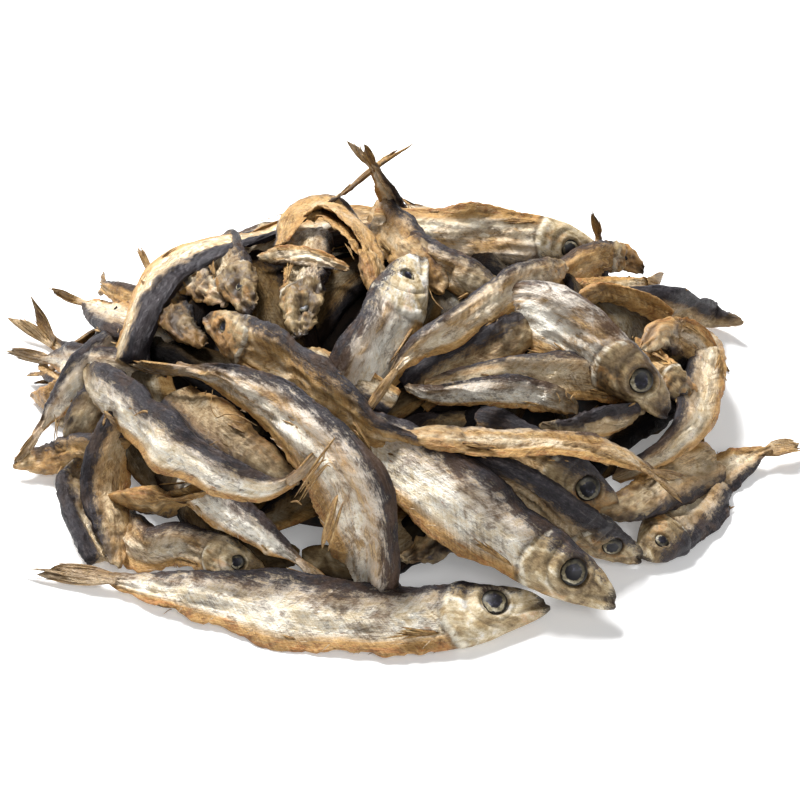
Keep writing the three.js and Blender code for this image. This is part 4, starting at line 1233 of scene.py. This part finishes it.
    # Flesh in an open belly, the web of fins and tails, specks and shade.
    flesh = paint.ramp(total((patch, 0.5), (grain, 0.5)), [
        (0.1, (26, 16, 10)), (0.5, (74, 46, 26)), (0.9, (136, 94, 54))])
    body = mix(raw, body, flesh)
    web = paint.ramp(total((streak, 0.45), (grain, 0.25), (patch, 0.3)), [
        (0.15, (50, 34, 20)), (0.38, (120, 86, 46)), (0.6, (178, 140, 84)), (0.85, (226, 204, 156))])
    web_dark = step(total((lie, 0.25), (dark, 0.4), (patch, 0.6), (wide, 0.3), -0.5), 0.36, 0.75)
    web = stain(web, web_dark, 0.85, 66, 58, 54)
    body = mix(fin, body, web)
    body = stain(body, step(speck, 0.75, 1.0), times(coarse, 0.6), 60, 46, 34)
    # A fish's shade darkens its whole colour: painted shade for fish that lie deep or in the dark.
    shadow = paint.node("ShaderNodeCombineColor")
    paint.feed(shadow.inputs, dict.fromkeys(range(3), paint.attribute("shade")["Fac"]))
    body = mix(1.0, body, shadow.outputs[0], "MULTIPLY")

    dull = paint.math("MAXIMUM", paint.math("MAXIMUM", golden, in_head), paint.math("MAXIMUM", raw, fin))
    rough = times(coarse, total((lines, 0.9), (grain, 0.6), (scratch, -0.3)))
    rough = total(rough, (patch, 0.9), (shaded_crease, -0.5))
    bump = paint.node("ShaderNodeBump")
    paint.feed(bump.inputs, {"Strength": 0.9, "Distance": 0.26 * MM,
                             "Height": times(rough, total((in_head, -0.6), 1.0))})
    return paint.surface({
        "Base Color": body,
        "Metallic": times(paint.math("SUBTRACT", 1.0, dull), 0.3),
        "Roughness": total((grain, 0.22), (golden, 0.06), (fin, 0.12), (back_share, 0.12), 0.27),
        "Normal": bump.outputs[0],
        "Specular IOR Level": specular,
    })


def eye_material():
    """A dried eye: dark pupil whose pale blue grey patches are partly clouding and partly painted reflection,
    a pale ring lighter towards the belly's side as a painted highlight, and a dark rim.
    """
    paint = Paint("dried_eye")
    place = paint.attribute("eye")["Vector"]
    along, across, _ = paint.split(place)
    ring = paint.math("SQRT", paint.math("ADD", paint.times(along, along), paint.times(across, across)))
    cloud = paint.noise(place, (1.6, 1.6, 1.0), 3)
    fleck = paint.noise(place, (5.0, 5.0, 1.0), 2)
    wobble = paint.total(ring, (cloud, 0.24), -0.1)
    # The pupil's pale blue grey patches: partly clouding, partly painted reflection.
    pupil = paint.ramp(cloud, [(0.4, (12, 10, 16)), (0.7, (34, 32, 44)), (1.0, (96, 98, 112))])
    # The ring is lighter towards the belly's side: a painted highlight.
    iris = paint.ramp(paint.total((cloud, 0.4), (fleck, 0.2), (across, -0.4), 0.18), [
        (0.1, (30, 27, 20)), (0.4, (74, 68, 52)), (0.68, (128, 118, 94)), (0.95, (214, 206, 182))])
    shade = paint.mix(paint.step(wobble, 0.56, 0.66), pupil, iris)
    shade = paint.mix(paint.step(wobble, 0.82, 0.9), shade, colour(26, 22, 18))
    return paint.surface({"Base Color": shade, "Roughness": 0.4, "Specular IOR Level": 0.35})


def core_shade_material():
    """The dark inside of the heap: painted shade."""
    paint = Paint("heap_inside_shade")
    cloud = paint.noise(paint.attribute("skin")["Vector"], (0.3, 0.3, 0.3), 4)
    shade = paint.ramp(cloud, [(0.35, (10, 7, 6)), (0.7, (44, 30, 20))])
    return paint.surface({"Base Color": shade, "Roughness": 0.8})


def core():
    """A lumpy dark mound that closes the gaps between the fish: painted shade."""
    collector = Collector("heap_core")
    tilt = (np.pi / 2 * (np.arange(CORE_ROWS) + 1) / CORE_ROWS)[:, None]
    turn = circle(CORE_AROUND)
    across, along = np.sin(tilt) * np.cos(turn), np.sin(tilt) * np.sin(turn)
    x = MOUND_X + (MOUND_RADIUS_X - CORE_INSET) * across
    y = MOUND_Y + (MOUND_RADIUS_Y - CORE_INSET) * along
    mound = mound_height(MOUND_X + MOUND_RADIUS_X * across, MOUND_Y + MOUND_RADIUS_Y * along)
    top = mound * (1 - CORE_SINK / MOUND_HEIGHT)
    z = np.maximum(CORE_LOWEST, top + CORE_LUMP * noise(x / 8, y / 8, 0, 3) * np.cos(tilt))
    places = closed(stacked(x, y, z), [MOUND_X, MOUND_Y, MOUND_HEIGHT - CORE_SINK],
                    [MOUND_X, MOUND_Y, FLOOR_GAP])
    faces = [face[:, ::-1] for face in tube_faces(CORE_ROWS, CORE_AROUND)]
    collector.add(places, faces, skin=places)
    collector.make(core_shade_material())


def make_fish():
    """All the fish, in pieces by their kind, their side of the heap and their parts."""
    # The deeper fish get a copy of the skin with little specular, so that they stay dark: painted shade.
    skin, shaded_deep_skin = skin_material("dried_skin", 0.4), skin_material("shaded_skin", 0.04)
    shown = []
    for number, row in enumerate(SHOWN_FISH.values(), 1):
        points = [place_by_pixel(*place) for place in row["path"]]
        shown.append(LaidFish(row, points, to_eye, number))
    back = laid_by_rule(BACK_ROWS, BACK_SEED, FIRST_BACK)
    deep = laid_by_rule(DEEP_ROWS, DEEP_SEED, FIRST_DEEP, deep=True)

    fine = [laid for laid in shown if laid.row["fine"]]
    plain = [laid for laid in shown if not laid.row["fine"]]
    groups = {
        "fish_large": (fine[:LARGE_FISH], FINE), "fish_long": (fine[LARGE_FISH:], FINE),
        "fish_left": ([laid for laid in plain if laid.line[0, 0] < 0], PLAIN),
        "fish_right": ([laid for laid in plain if laid.line[0, 0] >= 0], PLAIN),
        "fish_back": (back, BACK), "fish_deep": (deep, DEEP),
    }
    for name, (members, (rings, around)) in groups.items():
        collector = Collector(name)
        for laid in members:
            body(collector, laid, rings, around)
        collector.make(shaded_deep_skin if members is deep else skin)

    draw = draw_from(FIN_SEED)
    tails, small, balls = Collector("tails"), Collector("fins"), Collector("eyes")
    for laid in shown + back:
        if laid.end >= 1:
            tail(tails, laid, draw)
        eyes(balls, laid)
    for laid in shown + back:
        fins(small, laid, draw)
        bristles(small, laid, draw)
    strips(small)
    tails.make(skin)
    small.make(skin)
    balls.make(eye_material())


def stage_and_light():
    """A white floor, a white tent all round, and two lamps."""
    bpy.ops.mesh.primitive_plane_add(size=6)
    floor = bpy.context.object
    floor.name = "floor"
    floor.data.materials.append(Paint("white_floor").surface({
        "Base Color": [0.92, 0.92, 0.92, 1], "Roughness": 0.9, "Specular IOR Level": 0.1,
        "Emission Color": [1, 1, 1, 1], "Emission Strength": 0.2}))

    world = bpy.data.worlds.new("tent")
    bpy.context.scene.world = world
    world.use_nodes = True
    tent = world.node_tree.nodes["Background"].inputs
    tent["Color"].default_value = [1, 1, 1, 1]
    tent["Strength"].default_value = TENT_LIGHT

    for name, place, size, power in LAMPS:
        light = bpy.data.lights.new(name, "AREA")
        light.size, light.energy = size, power
        lamp = bpy.data.objects.new(name, light)
        lamp.location = place
        lamp.rotation_euler = (Vector(LAMPS_AIM) - Vector(place)).to_track_quat("-Z", "Y").to_euler()
        bpy.context.scene.collection.objects.link(lamp)


def place_camera():
    """The photo's view."""
    camera = bpy.data.cameras.new("camera")
    camera.lens, camera.sensor_width = LENS, SENSOR
    seen = bpy.data.objects.new("camera", camera)
    seen.location = Vector(EYE * MM)
    seen.rotation_euler = Vector(SIGHT).to_track_quat("-Z", "Y").to_euler()
    bpy.context.scene.collection.objects.link(seen)
    bpy.context.scene.camera = seen
    bpy.context.scene.view_settings.view_transform = "Standard"


core()
make_fish()
stage_and_light()
place_camera()
